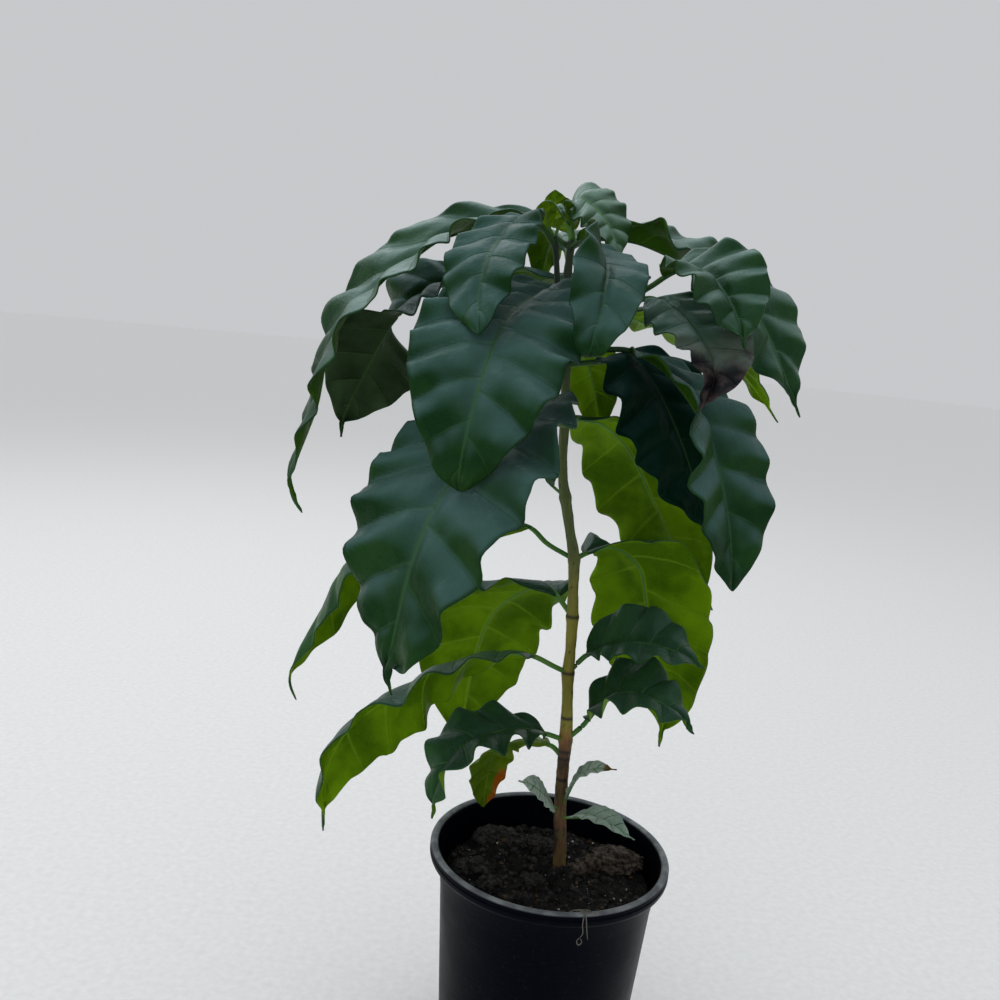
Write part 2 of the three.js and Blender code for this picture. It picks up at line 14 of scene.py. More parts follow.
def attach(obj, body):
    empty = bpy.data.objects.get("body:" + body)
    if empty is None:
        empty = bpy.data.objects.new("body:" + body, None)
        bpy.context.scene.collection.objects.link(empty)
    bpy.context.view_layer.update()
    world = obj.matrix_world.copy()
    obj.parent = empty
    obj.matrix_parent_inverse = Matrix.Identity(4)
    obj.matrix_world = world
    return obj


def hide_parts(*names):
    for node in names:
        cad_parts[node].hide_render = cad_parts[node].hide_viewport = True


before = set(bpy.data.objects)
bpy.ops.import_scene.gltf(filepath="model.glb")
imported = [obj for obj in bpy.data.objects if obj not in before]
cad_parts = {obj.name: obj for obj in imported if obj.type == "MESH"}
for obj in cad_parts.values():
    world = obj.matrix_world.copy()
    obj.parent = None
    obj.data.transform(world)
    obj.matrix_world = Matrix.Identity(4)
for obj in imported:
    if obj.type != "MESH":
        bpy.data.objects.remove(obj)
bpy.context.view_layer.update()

MM = 0.001
WELD = 1e-6

# Camera, as the photograph was taken
CAMERA_PLACE = (-0.0398, -0.4448, 0.346)
CAMERA_PITCH = 9.7
CAMERA_ROLL = 5.6

# Stem: x, y, z and radius at each node and between them
STEM_LINE = [
    (6, 0, 91.3, 4.4), (5.6, 0, 96, 3.3), (4.7, 0, 109, 2.9), (3.1, 0, 124, 2.9),
    (2.1, 0, 147, 2.8), (1.9, 0, 159, 3.2), (0.7, 0, 178, 2.5), (-0.5, 0, 192, 2.9),
    (-0.6, 0, 203, 2.4), (-1.4, 0, 219, 2.8), (-2.4, 0, 231, 2.3), (-3.6, 0, 246, 2.7),
    (-6.6, 0, 258, 2.2), (-10.6, 0, 274, 2.6), (-12.5, 0, 282, 2.1), (-13.9, 0, 295, 2),
    (-14.5, 0, 309, 2.4), (-15.9, 0, 324, 2), (-17.2, 0, 338, 2.3), (-18.7, 0, 352, 1.9),
    (-19.9, 0, 367, 2.2), (-20.1, 0, 377, 1.7), (-20, 0, 386, 1.7),
]
NODE_HEIGHTS = (159, 192, 219, 246, 274, 309, 338, 367)
SHOOT_LINES = [
    [(-24.2, -3, 366, 1.4), (-25.6, -5, 376, 1.2), (-27.9, -7, 386.6, 1.3)],
    [(-12.6, 1, 336, 1.5), (-9.4, 3, 349.5, 1.3), (-4.9, 2, 363, 1.4)],
]
SHOOT_NODE_DROP = 4
NODE_SWELLING = 0.28
NODE_REACH = 1.8
WOODY_HEIGHTS = (165, 130)

# Stalks
STALK_RADIUS = 1.2
SMALL_STALK_RADIUS = 0.72
SMALL_LEAF = 20
STALK_SEAT = 0.7
STEEPEST_SEAT = 0.45

# Leaf blades
OUTLINE_SKEW = 0.95
OUTLINE_FULLNESS = 0.72
TIP_SHARE = 0.93
TIP_WIDTH = 0.05
TIP_TAPER = 0.12
TIP_FULLNESS = 0.6
TIP_HALF_WIDTH = 0.35
SIDE_DROOP = 0.12
OPEN_HALF_WIDTH = 4.8
RIPPLE_REACH = 1.8
RIPPLE_SLANT = 0.09
RIPPLE_OFFSET = 2.1
WAVE_PER_WIDTH = 0.036
USUAL_RIPPLES = 6.5
WAVE_BOOST = 1.15
UNEVEN_SHARE = 0.3
CRINKLE = 0.18
CRINKLE_PACE = 2.3
QUILT_PER_WIDTH = 0.03
GROOVE_DEPTH = 0.35
GROOVE_HALF_WIDTH = 1.1
CRUMPLES = ((27, 2.6), (10, 1.1))
FULL_CRUMPLE_WIDTH = 64
EDGE_WANDER = 0.012
VEIN_SCALE = 12
BLADE_THICKNESS = 0.55
SMALL_BLADE_SHARE = 0.6
ROWS_PER_RIPPLE = 14
SMALL_ROWS_PER_RIPPLE = 8
BLADE_COLUMNS = 32
RIB_END = 0.97
RIB_SLIMMING = 0.35
RIB_TAPER = 0.78
RIB_SINK = 0.75

# Each leaf starts on the stem at the height of its node, or at a shoot's tip, and its midrib passes
# the given points. heading is the compass way that the blade runs, 0 for +X and 90 for +Y, bank
# lifts its left side, and left and right fold each half up from flat, in degrees, base to tip.
LEAVES = [
    dict(name="leaf_front_upper", node=367, midrib=[(-26, -12, 365), (-39, -43, 356), (-46, -70, 345),
        (-51, -91, 325), (-54, -99, 306), (-55, -98, 294), (-55, -94, 288)], width=64, heading=[264, 254],
        left=[30, 6, 4], right=[22, 8, 5], stalk=9, ripples=8, wave=2.6, blunt=True),
    dict(name="leaf_front_lower", node=309, midrib=[(-22, -14, 315), (-38, -45, 309), (-53, -74, 296),
        (-63, -90, 280), (-69, -98, 260), (-73, -100, 233), (-75, -94, 220), (-73, -90, 208)], width=80,
        heading=[235, 228], bank=[0, 6], left=[38, 8, 8], right=[8], stalk=14, ripples=8, wave=3),
    dict(name="leaf_top_young", start=(-19.4, -0.3, 386.4), midrib=[(-21, 2, 394), (-21, 3, 401),
        (-18, 2, 404), (-12, 0, 401), (-6, -2, 395), (-2, -4, 388), (1, -5, 382)], width=31,
        heading=[335, 328, 318], bank=[36, 30, 20], left=[8], right=[8, 10], stalk=6, blunt=True),
    dict(name="leaf_top_left", node=384, midrib=[(-22, 7, 392), (-25, 12, 398), (-28, 14, 403),
        (-29, 12, 408)], width=16, heading=[270], left=[10], right=[10], stalk=6, wave=0.5, blunt=True),
    dict(name="leaf_shoot_left", shoot=0, midrib=[(-33, -12, 389), (-40, -22, 391), (-46, -33, 387),
        (-51, -47, 378), (-54, -60, 369), (-55, -70, 357), (-54, -77, 349), (-53, -80, 343)], width=37,
        heading=[225, 240], left=[30, 12, 0], right=[20, 8, 0], stalk=13, blunt=True),
    dict(name="leaf_shoot_right", node=383, midrib=[(-16, -9, 386), (-12, -26, 381), (-9, -43, 376),
        (-8, -58, 370), (-9, -69, 364), (-10, -78, 355), (-12, -84, 348), (-13, -85, 341), (-13, -79, 339)],
        width=33, heading=[285, 275], left=[0, 10, 20], right=[85, 82, 60, 15, 0], stalk=6, blunt=True),
    dict(name="leaf_top_back", node=376, midrib=[(-22, 12, 384), (-25, 26, 391), (-28, 40, 389),
        (-30, 52, 379), (-30, 58, 366)], width=24, heading=[120, 110], left=[15], right=[15], stalk=8),
    dict(name="leaf_left_high", node=383, midrib=[(-38, 6, 392), (-52, 4, 391), (-64, 2, 387),
        (-77, -1, 381), (-87, -6, 372), (-96, -11, 364), (-103, -15, 355), (-110, -19, 347),
        (-115, -22, 337), (-118, -24, 327), (-119, -25, 316), (-120, -26, 307), (-123, -27, 296),
        (-126, -28, 286), (-129, -28, 275), (-127, -28, 267), (-123, -28, 261)], width=44,
        heading=[188, 188, 190, 188, 185, 190, 195], bank=[-8, -10, -10, -8, 0, 0],
        left=[30, 30, 8, 5, 4, 20, 0], right=[38, 40, 32, 25, 16, 20, 8], stalk=8, ripples=8.5, wave=2.2),
    dict(name="leaf_left_upper", node=338, midrib=[(-35, 4, 353), (-51, 6, 362), (-66, 8, 364),
        (-78, 8, 361), (-87, 8, 354), (-94, 8, 346), (-99, 7, 337), (-103, 6, 327), (-107, 5, 317),
        (-111, 4, 307), (-114, 4, 298), (-114, 4, 291)], width=52,
        heading=[188, 188, 180, 140, 100, 92, 90], bank=[-5, -8, 0, 0], left=[20, 0, 0, 0, 5],
        right=[50, 45, 20, 5, 5], stalk=50, ripples=8, wave=2),
    dict(name="leaf_left_middle", node=246, midrib=[(-16, 10, 250), (-26, 18, 256), (-53, 26, 254),
        (-86, 26, 244), (-110, 22, 228), (-120, 20, 206), (-129, 16, 185), (-132, 14, 170),
        (-128, 12, 161)], width=40, heading=[183, 186, 200], left=[-5], right=[-60, -70], stalk=26),
    dict(name="leaf_back_left", node=219, midrib=[(-7, 8, 224), (-13, 20, 228), (-25, 40, 218),
        (-38, 54, 201), (-45, 60, 175), (-49, 62, 131)], width=70, heading=[115, 105], left=[8], right=[8],
        stalk=12, blunt=True),
    dict(name="leaf_left_low", node=192, midrib=[(-7, -2, 195), (-20, -6, 201), (-40, -16, 203),
        (-59, -26, 198), (-75, -36, 189), (-94, -44, 174), (-102, -48, 155), (-101, -50, 129)], width=50,
        heading=[192, 188, 177], left=[12, 20, 20, 0], right=[-38, -50, -80, -95], stalk=17),
    dict(name="leaf_left_bottom", node=159, midrib=[(-8, -4, 163), (-18, -10, 167), (-34, -20, 167),
        (-47, -28, 162), (-54, -34, 149), (-56, -36, 132)], width=36, heading=[195, 205], bank=[-10, 0],
        left=[15, 25], right=[15, 25], stalk=9, ripples=5, wave=3.2),
    dict(name="leaf_left_scorched", node=150, midrib=[(-4, 6, 153), (-18, 16, 150), (-30, 22, 140),
        (-33, 26, 123), (-33, 27, 108)], width=28, heading=[150, 120], left=[0], right=[0], stalk=8,
        blunt=True),
    dict(name="leaf_right_high", node=383, midrib=[(-12, 8, 388), (-2, 15, 390), (10, 19, 390),
        (24, 19, 386), (44, 17, 378), (61, 13, 368), (72, 8, 354), (81, 4, 337), (89, 1, 320)], width=56,
        heading=[5, 0, -20, -50, -60], bank=[5, 12, 16, 0], left=[35, 25, 10],
        right=[40, 40, 5, -15, 0, 10], stalk=12, ripples=7.5, wave=2.4),
    dict(name="leaf_right_fold", shoot=1, midrib=[(6, -6, 363), (14, -17, 369), (23, -28, 376),
        (32, -40, 375), (38, -50, 368), (43, -57, 359), (47, -62, 347)], width=40, heading=[-45, -75],
        bank=[5], left=[45, 45, 35], right=[16, 16, 12], stalk=38, ripples=6, wave=1.8),
    dict(name="leaf_right_dry_tip", node=352, midrib=[(-8, -5, 355), (4, -13, 361), (14, -22, 364),
        (22, -36, 361), (30, -50, 352), (36, -60, 341), (35, -67, 331), (30, -71, 322)], width=38,
        heading=[-45, -60, -90], bank=[20, 30, 10, 0], left=[5, 8, 25, 60], right=[15, 15, 30, 60],
        stalk=42),
    dict(name="leaf_right_back_high", node=363, midrib=[(-8, 10, 361), (8, 24, 358), (29, 37, 353),
        (51, 48, 347), (73, 55, 336), (95, 58, 313)], width=42, heading=[42, 32, 16], left=[8],
        right=[15, 8], stalk=8, ripples=6),
    dict(name="leaf_right_front", node=338, midrib=[(-3, -9, 341), (8, -20, 342), (18, -32, 338),
        (28, -43, 329), (38, -50, 315), (45, -54, 298), (51, -58, 277), (55, -60, 253)], width=52,
        heading=[-45, -70], left=[8, 12], right=[10, 45, 30, 25], stalk=32, blunt=True),
    dict(name="leaf_right_shade", node=333, midrib=[(-2, -4, 336), (10, -16, 339), (21, -26, 327),
        (33, -32, 306), (42, -36, 285), (49, -38, 268)], width=60, heading=[-40, -70], bank=[12, 0],
        left=[10], right=[10], stalk=14),
    dict(name="leaf_back_right_high", node=345, midrib=[(-16, 14, 347), (-10, 34, 342), (-2, 48, 329),
        (4, 54, 311), (9, 54, 295)], width=32, heading=[80], left=[6], right=[6], stalk=8),
    dict(name="leaf_back_right_middle", node=309, midrib=[(-5, 12, 309), (6, 26, 306), (20, 36, 294),
        (35, 42, 271), (52, 44, 244), (72, 44, 217)], width=60, heading=[75, 60], left=[8], right=[8],
        stalk=8),
    dict(name="leaf_back_right_low", node=246, midrib=[(4, 10, 248), (16, 18, 250), (30, 26, 240),
        (38, 30, 215), (46, 32, 190), (52, 32, 169), (52, 32, 147)], width=64, heading=[50, 60], left=[6],
        right=[34, 10, 6], stalk=8),
    dict(name="leaf_right_low", node=192, midrib=[(4, 0, 198), (8, -2, 203), (18, -6, 209), (31, -14, 214),
        (46, -20, 213), (57, -22, 208)], width=40, heading=[-15, -20], bank=[15, 10], left=[60, 35, 10],
        right=[20, 10], stalk=9, ripples=5),
    dict(name="leaf_right_bottom", node=159, midrib=[(9, -2, 168), (15, -8, 181), (25, -18, 192),
        (36, -26, 193), (47, -30, 188), (54, -32, 181)], width=38, heading=[-20, -30], bank=[10, 5],
        left=[50, 30, 10], right=[10], stalk=13, ripples=5, wave=2.6),
    dict(name="leaf_left_small", node=274, midrib=[(-18, 6, 279), (-22, 12, 283), (-28, 15, 281),
        (-33, 18, 273), (-36, 20, 264)], width=18, heading=[170, 160], left=[15], right=[15], stalk=6),
    dict(name="leaf_back_high", node=367, midrib=[(-25, 16, 371), (-31, 36, 370), (-40, 58, 361),
        (-45, 72, 340), (-46, 80, 314)], width=50, heading=[110, 115], left=[12], right=[12], stalk=8),
    dict(name="leaf_first_left", node=124, midrib=[(-1, -5, 128), (-7, -12, 137), (-13, -16, 143),
        (-19, -18, 145)], width=16, heading=[215], bank=[-40], left=[10], right=[10], stalk=4, wave=0.3),
    dict(name="leaf_first_right", node=124, midrib=[(5, -4, 133), (9, -8, 145), (16, -12, 152),
        (25, -16, 154)], width=11, heading=[-30], bank=[30], left=[20], right=[20], stalk=4, wave=0.3),
    dict(name="leaf_first_front", node=120, midrib=[(10, -8, 125), (16, -16, 130), (25, -24, 131),
        (35, -28, 127)], width=18, heading=[-40, -45], left=[20], right=[20], stalk=4, wave=0.3),
    dict(name="leaf_bud_arched", start=(-28.7, -7.7, 386.95), midrib=[(-31, -10, 391), (-32, -13, 395),
        (-29, -15, 397.5), (-26, -15, 396), (-24.5, -14, 392.5)], width=10, heading=[270, 300, 330],
        left=[20], right=[20], stalk=3, wave=0),
    dict(name="leaf_bud_curled", start=(-27.2, -6.3, 386.95), midrib=[(-26.5, -7, 390), (-25, -8.5, 393),
        (-22.5, -8.5, 393.5)], width=7, heading=[330], left=[25], right=[25], stalk=3, wave=0),
]

# Leaves by age and light.
YOUNG = (
    "leaf_top_young", "leaf_top_left", "leaf_shoot_left", "leaf_top_back", "leaf_left_small",
    "leaf_bud_arched", "leaf_bud_curled",
)
FIRST = ("leaf_first_left", "leaf_first_right", "leaf_first_front")

SUNLIT = (
    "leaf_left_middle", "leaf_back_left", "leaf_left_low", "leaf_back_right_high",
    "leaf_back_right_middle", "leaf_back_right_low", "leaf_right_low", "leaf_right_bottom",
    "leaf_right_back_high", "leaf_left_bottom",
)

# The upper, under and rib skins of the leaves, by name. The first row that names a leaf counts for it.
USUAL_SKINS = ("leaf_upper", "leaf_under", "leaf_rib")
SKINS_OF = (
    (("leaf_shoot_left",), *USUAL_SKINS),
    (("leaf_right_dry_tip",), "dry_upper", "dry_under", "leaf_rib"),
    (("leaf_left_scorched",), "scorched_upper", "scorched_under", "young_rib"),
    (("leaf_first_right",), "first_upper_dry", "first_under", "young_rib"),
    (("leaf_left_high", "leaf_right_high", "leaf_right_fold"), "crown_upper", "leaf_under", "leaf_rib"),
    (YOUNG, "young_upper", "young_under", "young_rib"),
    (FIRST, "first_upper", "first_under", "young_rib"),
    (SUNLIT, "leaf_sunlit_upper", "leaf_sunlit_under", "young_rib"),
    (("leaf_right_shade",), "shaded_upper", "shaded_under", "leaf_rib"),
    (("leaf_left_upper",), "leaf_upper", "shaded_under", "leaf_rib"),
)

# Stem bark: the heights over which each tone comes in, and its deep and pale colours
BARK_FOOT = ((0.045, 0.024, 0.01), (0.24, 0.12, 0.045))
BARK_FOOT_BAND = ((0.05, 0.035, 0.012), (0.2, 0.14, 0.04))
BARK_TONES = (
    (0.152, 0.16, (0.12, 0.05, 0.012), (0.34, 0.16, 0.04)),
    (0.166, 0.176, (0.16, 0.15, 0.012), (0.34, 0.31, 0.03)),
    (0.225, 0.262, (0.052, 0.077, 0.015), (0.125, 0.165, 0.035)),
    (0.318, 0.345, (0.016, 0.032, 0.018), (0.05, 0.085, 0.045)),
)
BARK_RINGS = (0.14, 0.1505, 0.154, 0.1705, 0.1925, 0.2195)
RING_REACH = 0.0016
# Heights of the pot's rim top, painted pale grey as wear and a painted highlight
RIM_WEAR_AND_HIGHLIGHT = (0.1038, 0.1047)

# Materials


def new_material(name):
    """A new material, its shader, and the places on the piece that it covers"""
    material = bpy.data.materials.new(name)
    material.use_nodes = True
    tree = material.node_tree
    return material, tree.nodes["Principled BSDF"], own_place(tree)


def is_socket(value):
    return isinstance(value, bpy.types.NodeSocket)


def put(kind, inputs, tree=None, **settings):
    """Adds a node to the given tree, or to the one that its inputs come from, and sets it up"""
    tree = tree or next(value.id_data for value in inputs.values() if is_socket(value))
    node = tree.nodes.new(kind)
    for key, value in settings.items():
        setattr(node, key, value)
    for key, value in inputs.items():
        if is_socket(value):
            tree.links.new(value, node.inputs[key])
        else:
            node.inputs[key].default_value = value
    return node


def calc(operation, *values):
    return put("ShaderNodeMath", dict(enumerate(values)), operation=operation).outputs[0]


def times(first, second):
    return calc("MULTIPLY", first, second)


def plus(first, second):
    return calc("ADD", first, second)


def ease(value, low, high, at_low=0.0, at_high=1.0):
    inputs = {"Value": value, "From Min": low, "From Max": high, "To Min": at_low, "To Max": at_high}
    return put("ShaderNodeMapRange", inputs, interpolation_type="SMOOTHSTEP").outputs[0]


def blend(share, first, second):
    """A colour between two, where a plain colour is (r, g, b)"""
    inputs = {0: share}
    for index, value in ((6, first), (7, second)):
        inputs[index] = (*value, 1) if isinstance(value, tuple) else value
    return put("ShaderNodeMix", inputs, data_type="RGBA").outputs[2]


def own_place(tree):
    return put("ShaderNodeTexCoord", {}, tree).outputs["Object"]


def stretched(place, scale):
    return put("ShaderNodeMapping", {"Vector": place, "Scale": scale}).outputs[0]


def clouds(place, scale, detail=3.0, rough=0.55):
    inputs = {"Vector": place, "Scale": scale, "Detail": detail, "Roughness": rough}
    return put("ShaderNodeTexNoise", inputs).outputs["Fac"]


def streaks(place, scales, detail):
    """Clouds drawn out by a scale of their own along each axis"""
    return clouds(stretched(place, scales), 1, detail)


def cells(place, scale):
    inputs = {"Vector": place, "Scale": scale}
    return put("ShaderNodeTexVoronoi", inputs, feature="DISTANCE_TO_EDGE").outputs["Distance"]


def split(vector):
    return put("ShaderNodeSeparateXYZ", {"Vector": vector}).outputs


def own_map(tree, name):
    return split(put("ShaderNodeUVMap", {}, tree, uv_map=name).outputs[0])


def fill(shader, **values):
    """Links or sets inputs of a material's shader, which are named with _ for a space"""
    for key, value in values.items():
        socket = shader.inputs[key.replace("_", " ")]
        if is_socket(value):
            shader.id_data.links.new(value, socket)
        else:
            socket.default_value = value


def bump(shader, height, depth, strength=1.0):
    inputs = {"Height": height, "Distance": depth, "Strength": strength}
    fill(shader, Normal=put("ShaderNodeBump", inputs).outputs[0])


def leaf_material(
    name, deep, pale, vein, gloss, raised, vein_share=0.5, patch=None, shine=0.2, tint=(0.5, 0.88, 1),
    painted_sheen=None, painted_sheen_from=0.25,
):
    """Leaf skin: side veins along the veins map, a net of fine veins, clouded green between them, and a
    painted bluish sheen on the parts that face the sky where a sheen colour is given
    """
    material, shader, place = new_material(name)
    tree = shader.id_data
    turns, out, _ = own_map(tree, "veins")
    gap = calc("PINGPONG", times(turns, VEIN_SCALE), 0.5)
    side_vein = calc("SUBTRACT", 1.0, ease(calc("DIVIDE", gap, ease(out, 0, 1, 0.075, 0.03)), 0, 1))
    midrib = ease(out, 0.015, 0.055, 1, 0)
    net = ease(cells(place, 520), 0, 0.16, 1, 0)
    cloud = clouds(place, 38)
    colour = blend(ease(cloud, 0.35, 0.66), deep, pale)
    # Painted sheen: the more a place faces up, the more its colour turns toward the sheen colour, in place of
    # the sky's reflection
    if painted_sheen:
        skyward = put("ShaderNodeAttribute", {}, tree, attribute_name="skyward").outputs["Fac"]
        facing = ease(skyward, painted_sheen_from, painted_sheen_from + 0.7)
        colour = blend(times(facing, ease(cloud, 0.3, 0.7, 0.65, 1)), colour, painted_sheen)
    colour = blend(times(net, vein_share * 0.2), colour, vein)
    colour = blend(times(side_vein, vein_share), colour, vein)
    colour = blend(times(midrib, min(vein_share * 1.5, 1)), colour, vein)
    rough = ease(clouds(place, 90), 0.3, 0.7, gloss - 0.05, gloss + 0.09)
    if patch:
        share, across, _ = own_map(tree, "blade")
        colour, rough = patch(place, share, across, colour, rough)
    fill(shader, Base_Color=colour, Roughness=rough, Specular_IOR_Level=shine, Specular_Tint=(*tint, 1))
    lines = times(calc("MAXIMUM", side_vein, times(net, 0.1)), raised)
    grain = times(clouds(place, 260), 0.5)
    puckers = times(clouds(place, 105), 2.6)
    bump(shader, plus(plus(lines, grain), puckers), 0.00042, 0.85)
    return material


def ragged(place, value, scale, amount):
    """A value along or across a piece, pushed about by clouds"""
    return plus(value, times(clouds(place, scale), amount))


def dry_tip(place, share, across, colour, rough):
    """The blade's last part has dried: first grey green, then a purple brown with dark blotches"""
    reached = ragged(place, share, 70, 0.3)
    grey = blend(clouds(place, 120), (0.04, 0.065, 0.045), (0.12, 0.145, 0.115))
    blotches = ease(clouds(place, 160), 0.4, 0.62)
    brown = blend(blotches, (0.007, 0.004, 0.0045), (0.05, 0.032, 0.029))
    dry = ease(reached, 0.8, 0.92)
    fading = blend(ease(reached, 0.62, 0.8), colour, grey)
    return blend(dry, fading, brown), plus(rough, times(dry, 0.25))


def brown_tip(place, share, across, colour, rough):
    """Only the last of the blade has dried brown"""
    brown = blend(clouds(place, 500), (0.03, 0.014, 0.004), (0.22, 0.11, 0.02))
    return blend(ease(ragged(place, share, 300, 0.1), 0.86, 0.92), colour, brown), rough


def scorch(place, share, across, colour, rough):
    """A burnt orange patch at the right margin, toward the tip"""
    side = ease(ragged(place, calc("SUBTRACT", 1.0, across), 120, 0.25), 0.82, 0.9)
    lengthwise = times(ease(share, 0.68, 0.74), ease(share, 0.94, 0.99, 1, 0))
    orange = blend(clouds(place, 200), (0.16, 0.045, 0.008), (0.75, 0.2, 0.012))
    return blend(times(side, lengthwise), colour, orange), rough


# What leaf skins share, and each skin's deep, pale and vein colours with what it has of its own
# Painted bluish sheen of the crown's upper skins, brighter than elsewhere, in place of the sky's reflection
CROWN_PAINTED_SHEEN = (0.12, 0.215, 0.18)
ABOVE = dict(gloss=0.34, raised=-1, vein_share=0.3)
BELOW = dict(gloss=0.5, raised=1)
SUNNY = dict(BELOW, tint=(0.8, 1, 0.2))
RIB = dict(gloss=0.5, raised=0, vein_share=0.2)
PALE_ABOVE = dict(gloss=0.5, raised=-1, vein_share=0.95)
PALE_TONES = ((0.15, 0.24, 0.17), (0.38, 0.47, 0.4), (0.02, 0.07, 0.035))
SKINS = {
    "leaf_upper": (
        (0.009, 0.034, 0.008), (0.018, 0.058, 0.012), (0.05, 0.13, 0.045),
        dict(
            ABOVE, vein_share=0.26, painted_sheen=(0.058, 0.122, 0.112), painted_sheen_from=0, shine=0.06,
            tint=(0.2, 0.9, 0.95),
        ),
    ),
    "leaf_under": ((0.02, 0.07, 0.005), (0.036, 0.11, 0.007), (0.1, 0.22, 0.02), dict(SUNNY, shine=0.15)),
    "leaf_sunlit_under": (
        (0.058, 0.14, 0.002), (0.15, 0.3, 0.004), (0.21, 0.37, 0.02), dict(SUNNY, shine=0.05),
    ),
    # Upper skin of the sunlit leaves: a lighter green than leaf_upper, painted light where the sun lights
    # these leaves
    "leaf_sunlit_upper": (
        (0.012, 0.05, 0.01), (0.028, 0.09, 0.016), (0.07, 0.18, 0.05),
        dict(ABOVE, gloss=0.36, vein_share=0.35, painted_sheen=(0.028, 0.072, 0.045)),
    ),
    "leaf_rib": ((0.02, 0.06, 0.02), (0.05, 0.12, 0.03), (0.1, 0.2, 0.06), RIB),
    "young_upper": (
        (0.014, 0.05, 0.008), (0.026, 0.078, 0.012), (0.09, 0.2, 0.07),
        dict(ABOVE, gloss=0.33, vein_share=0.35, painted_sheen=(0.17, 0.28, 0.22), painted_sheen_from=0),
    ),
    "young_under": (
        (0.1, 0.2, 0.003), (0.17, 0.32, 0.006), (0.16, 0.34, 0.03), dict(SUNNY, gloss=0.45, shine=0.15),
    ),
    "young_rib": ((0.06, 0.17, 0.03), (0.12, 0.27, 0.05), (0.2, 0.35, 0.1), RIB),
    "first_upper": (*PALE_TONES, PALE_ABOVE),
    "first_upper_dry": (*PALE_TONES, dict(PALE_ABOVE, patch=brown_tip)),
    "first_under": ((0.17, 0.25, 0.15), (0.3, 0.38, 0.25), (0.08, 0.15, 0.08), dict(BELOW, gloss=0.6)),
    "crown_upper": (
        (0.011, 0.042, 0.01), (0.022, 0.07, 0.015), (0.06, 0.15, 0.06), dict(ABOVE, painted_sheen=CROWN_PAINTED_SHEEN),
    ),
    "shaded_upper": (
        (0.002, 0.016, 0.009), (0.005, 0.026, 0.014), (0.02, 0.06, 0.03),
        dict(ABOVE, painted_sheen=(0.015, 0.05, 0.046), shine=0.02, tint=(0.2, 0.9, 0.8)),
    ),
    "shaded_under": (
        (0.022, 0.044, 0.019), (0.042, 0.076, 0.035), (0.06, 0.11, 0.03),
        dict(SUNNY, vein_share=0.3, shine=0.04),
    ),
    "dry_upper": (
        (0.009, 0.036, 0.012), (0.018, 0.062, 0.02), (0.05, 0.13, 0.07),
        dict(ABOVE, patch=dry_tip, painted_sheen=CROWN_PAINTED_SHEEN),
    ),
    "dry_under": ((0.02, 0.075, 0.012), (0.04, 0.12, 0.016), (0.12, 0.24, 0.05), dict(BELOW, patch=dry_tip)),
    "scorched_upper": (
        (0.1, 0.18, 0.012), (0.19, 0.28, 0.02), (0.18, 0.28, 0.04), dict(gloss=0.45, raised=-1, patch=scorch),
    ),
    "scorched_under": (
        (0.1, 0.19, 0.004), (0.17, 0.28, 0.006), (0.2, 0.32, 0.03), dict(BELOW, patch=scorch, shine=0.1),
    ),
}
LEAF_MATERIALS = {
    name: leaf_material(name + "_skin", *colours, **rest) for name, (*colours, rest) in SKINS.items()
}


def leaf_materials(name):
    """The upper, under and rib materials of a leaf"""
    names = next((skins for leaves, *skins in SKINS_OF if name in leaves), USUAL_SKINS)
    return [LEAF_MATERIALS[skin] for skin in names]


def stem_material():
    """Brown bark at the foot, an orange swelling, then olive, then green, with dark rings and specks"""
    material, shader, place = new_material("stem_bark")
    level = split(place)[2]
    height = ragged(place, level, 60, 0.012)
    fibre = streaks(place, (900, 900, 90), 4)
    band = ease(streaks(place, (24, 24, 120), 2), 0.42, 0.6)
    colour = blend(band, blend(fibre, *BARK_FOOT), blend(fibre, *BARK_FOOT_BAND))
    for low, high, deep, pale in BARK_TONES:
        colour = blend(ease(height, low, high), colour, blend(fibre, deep, pale))
    for ring in BARK_RINGS:
        away = calc("ABSOLUTE", calc("SUBTRACT", level, ring))
        colour = blend(ease(away, 0, RING_REACH, 0.92, 0), colour, (0.012, 0.008, 0.006))
    blotch = ease(streaks(place, (190, 190, 80), 4), 0.44, 0.56)
    woody = ease(level, 0.14, 0.17, 0.92, 0.12)
    colour = blend(times(blotch, woody), colour, (0.022, 0.012, 0.007))
    specks = ease(streaks(place, (420, 420, 260), 2), 0.64, 0.7)
    colour = blend(times(specks, 0.75), colour, (0.03, 0.017, 0.01))
    fill(shader, Base_Color=colour, Roughness=0.62)
    bump(shader, plus(fibre, times(specks, 0.6)), 0.0005, 0.7)
    return material


def shoot_material():
    material, shader, place = new_material("shoot_bark")
    fibre = streaks(place, (900, 900, 120), 3)
    fill(shader, Base_Color=blend(fibre, (0.008, 0.018, 0.01), (0.03, 0.06, 0.03)), Roughness=0.55)
    bump(shader, fibre, 0.0003, 0.6)
    return material


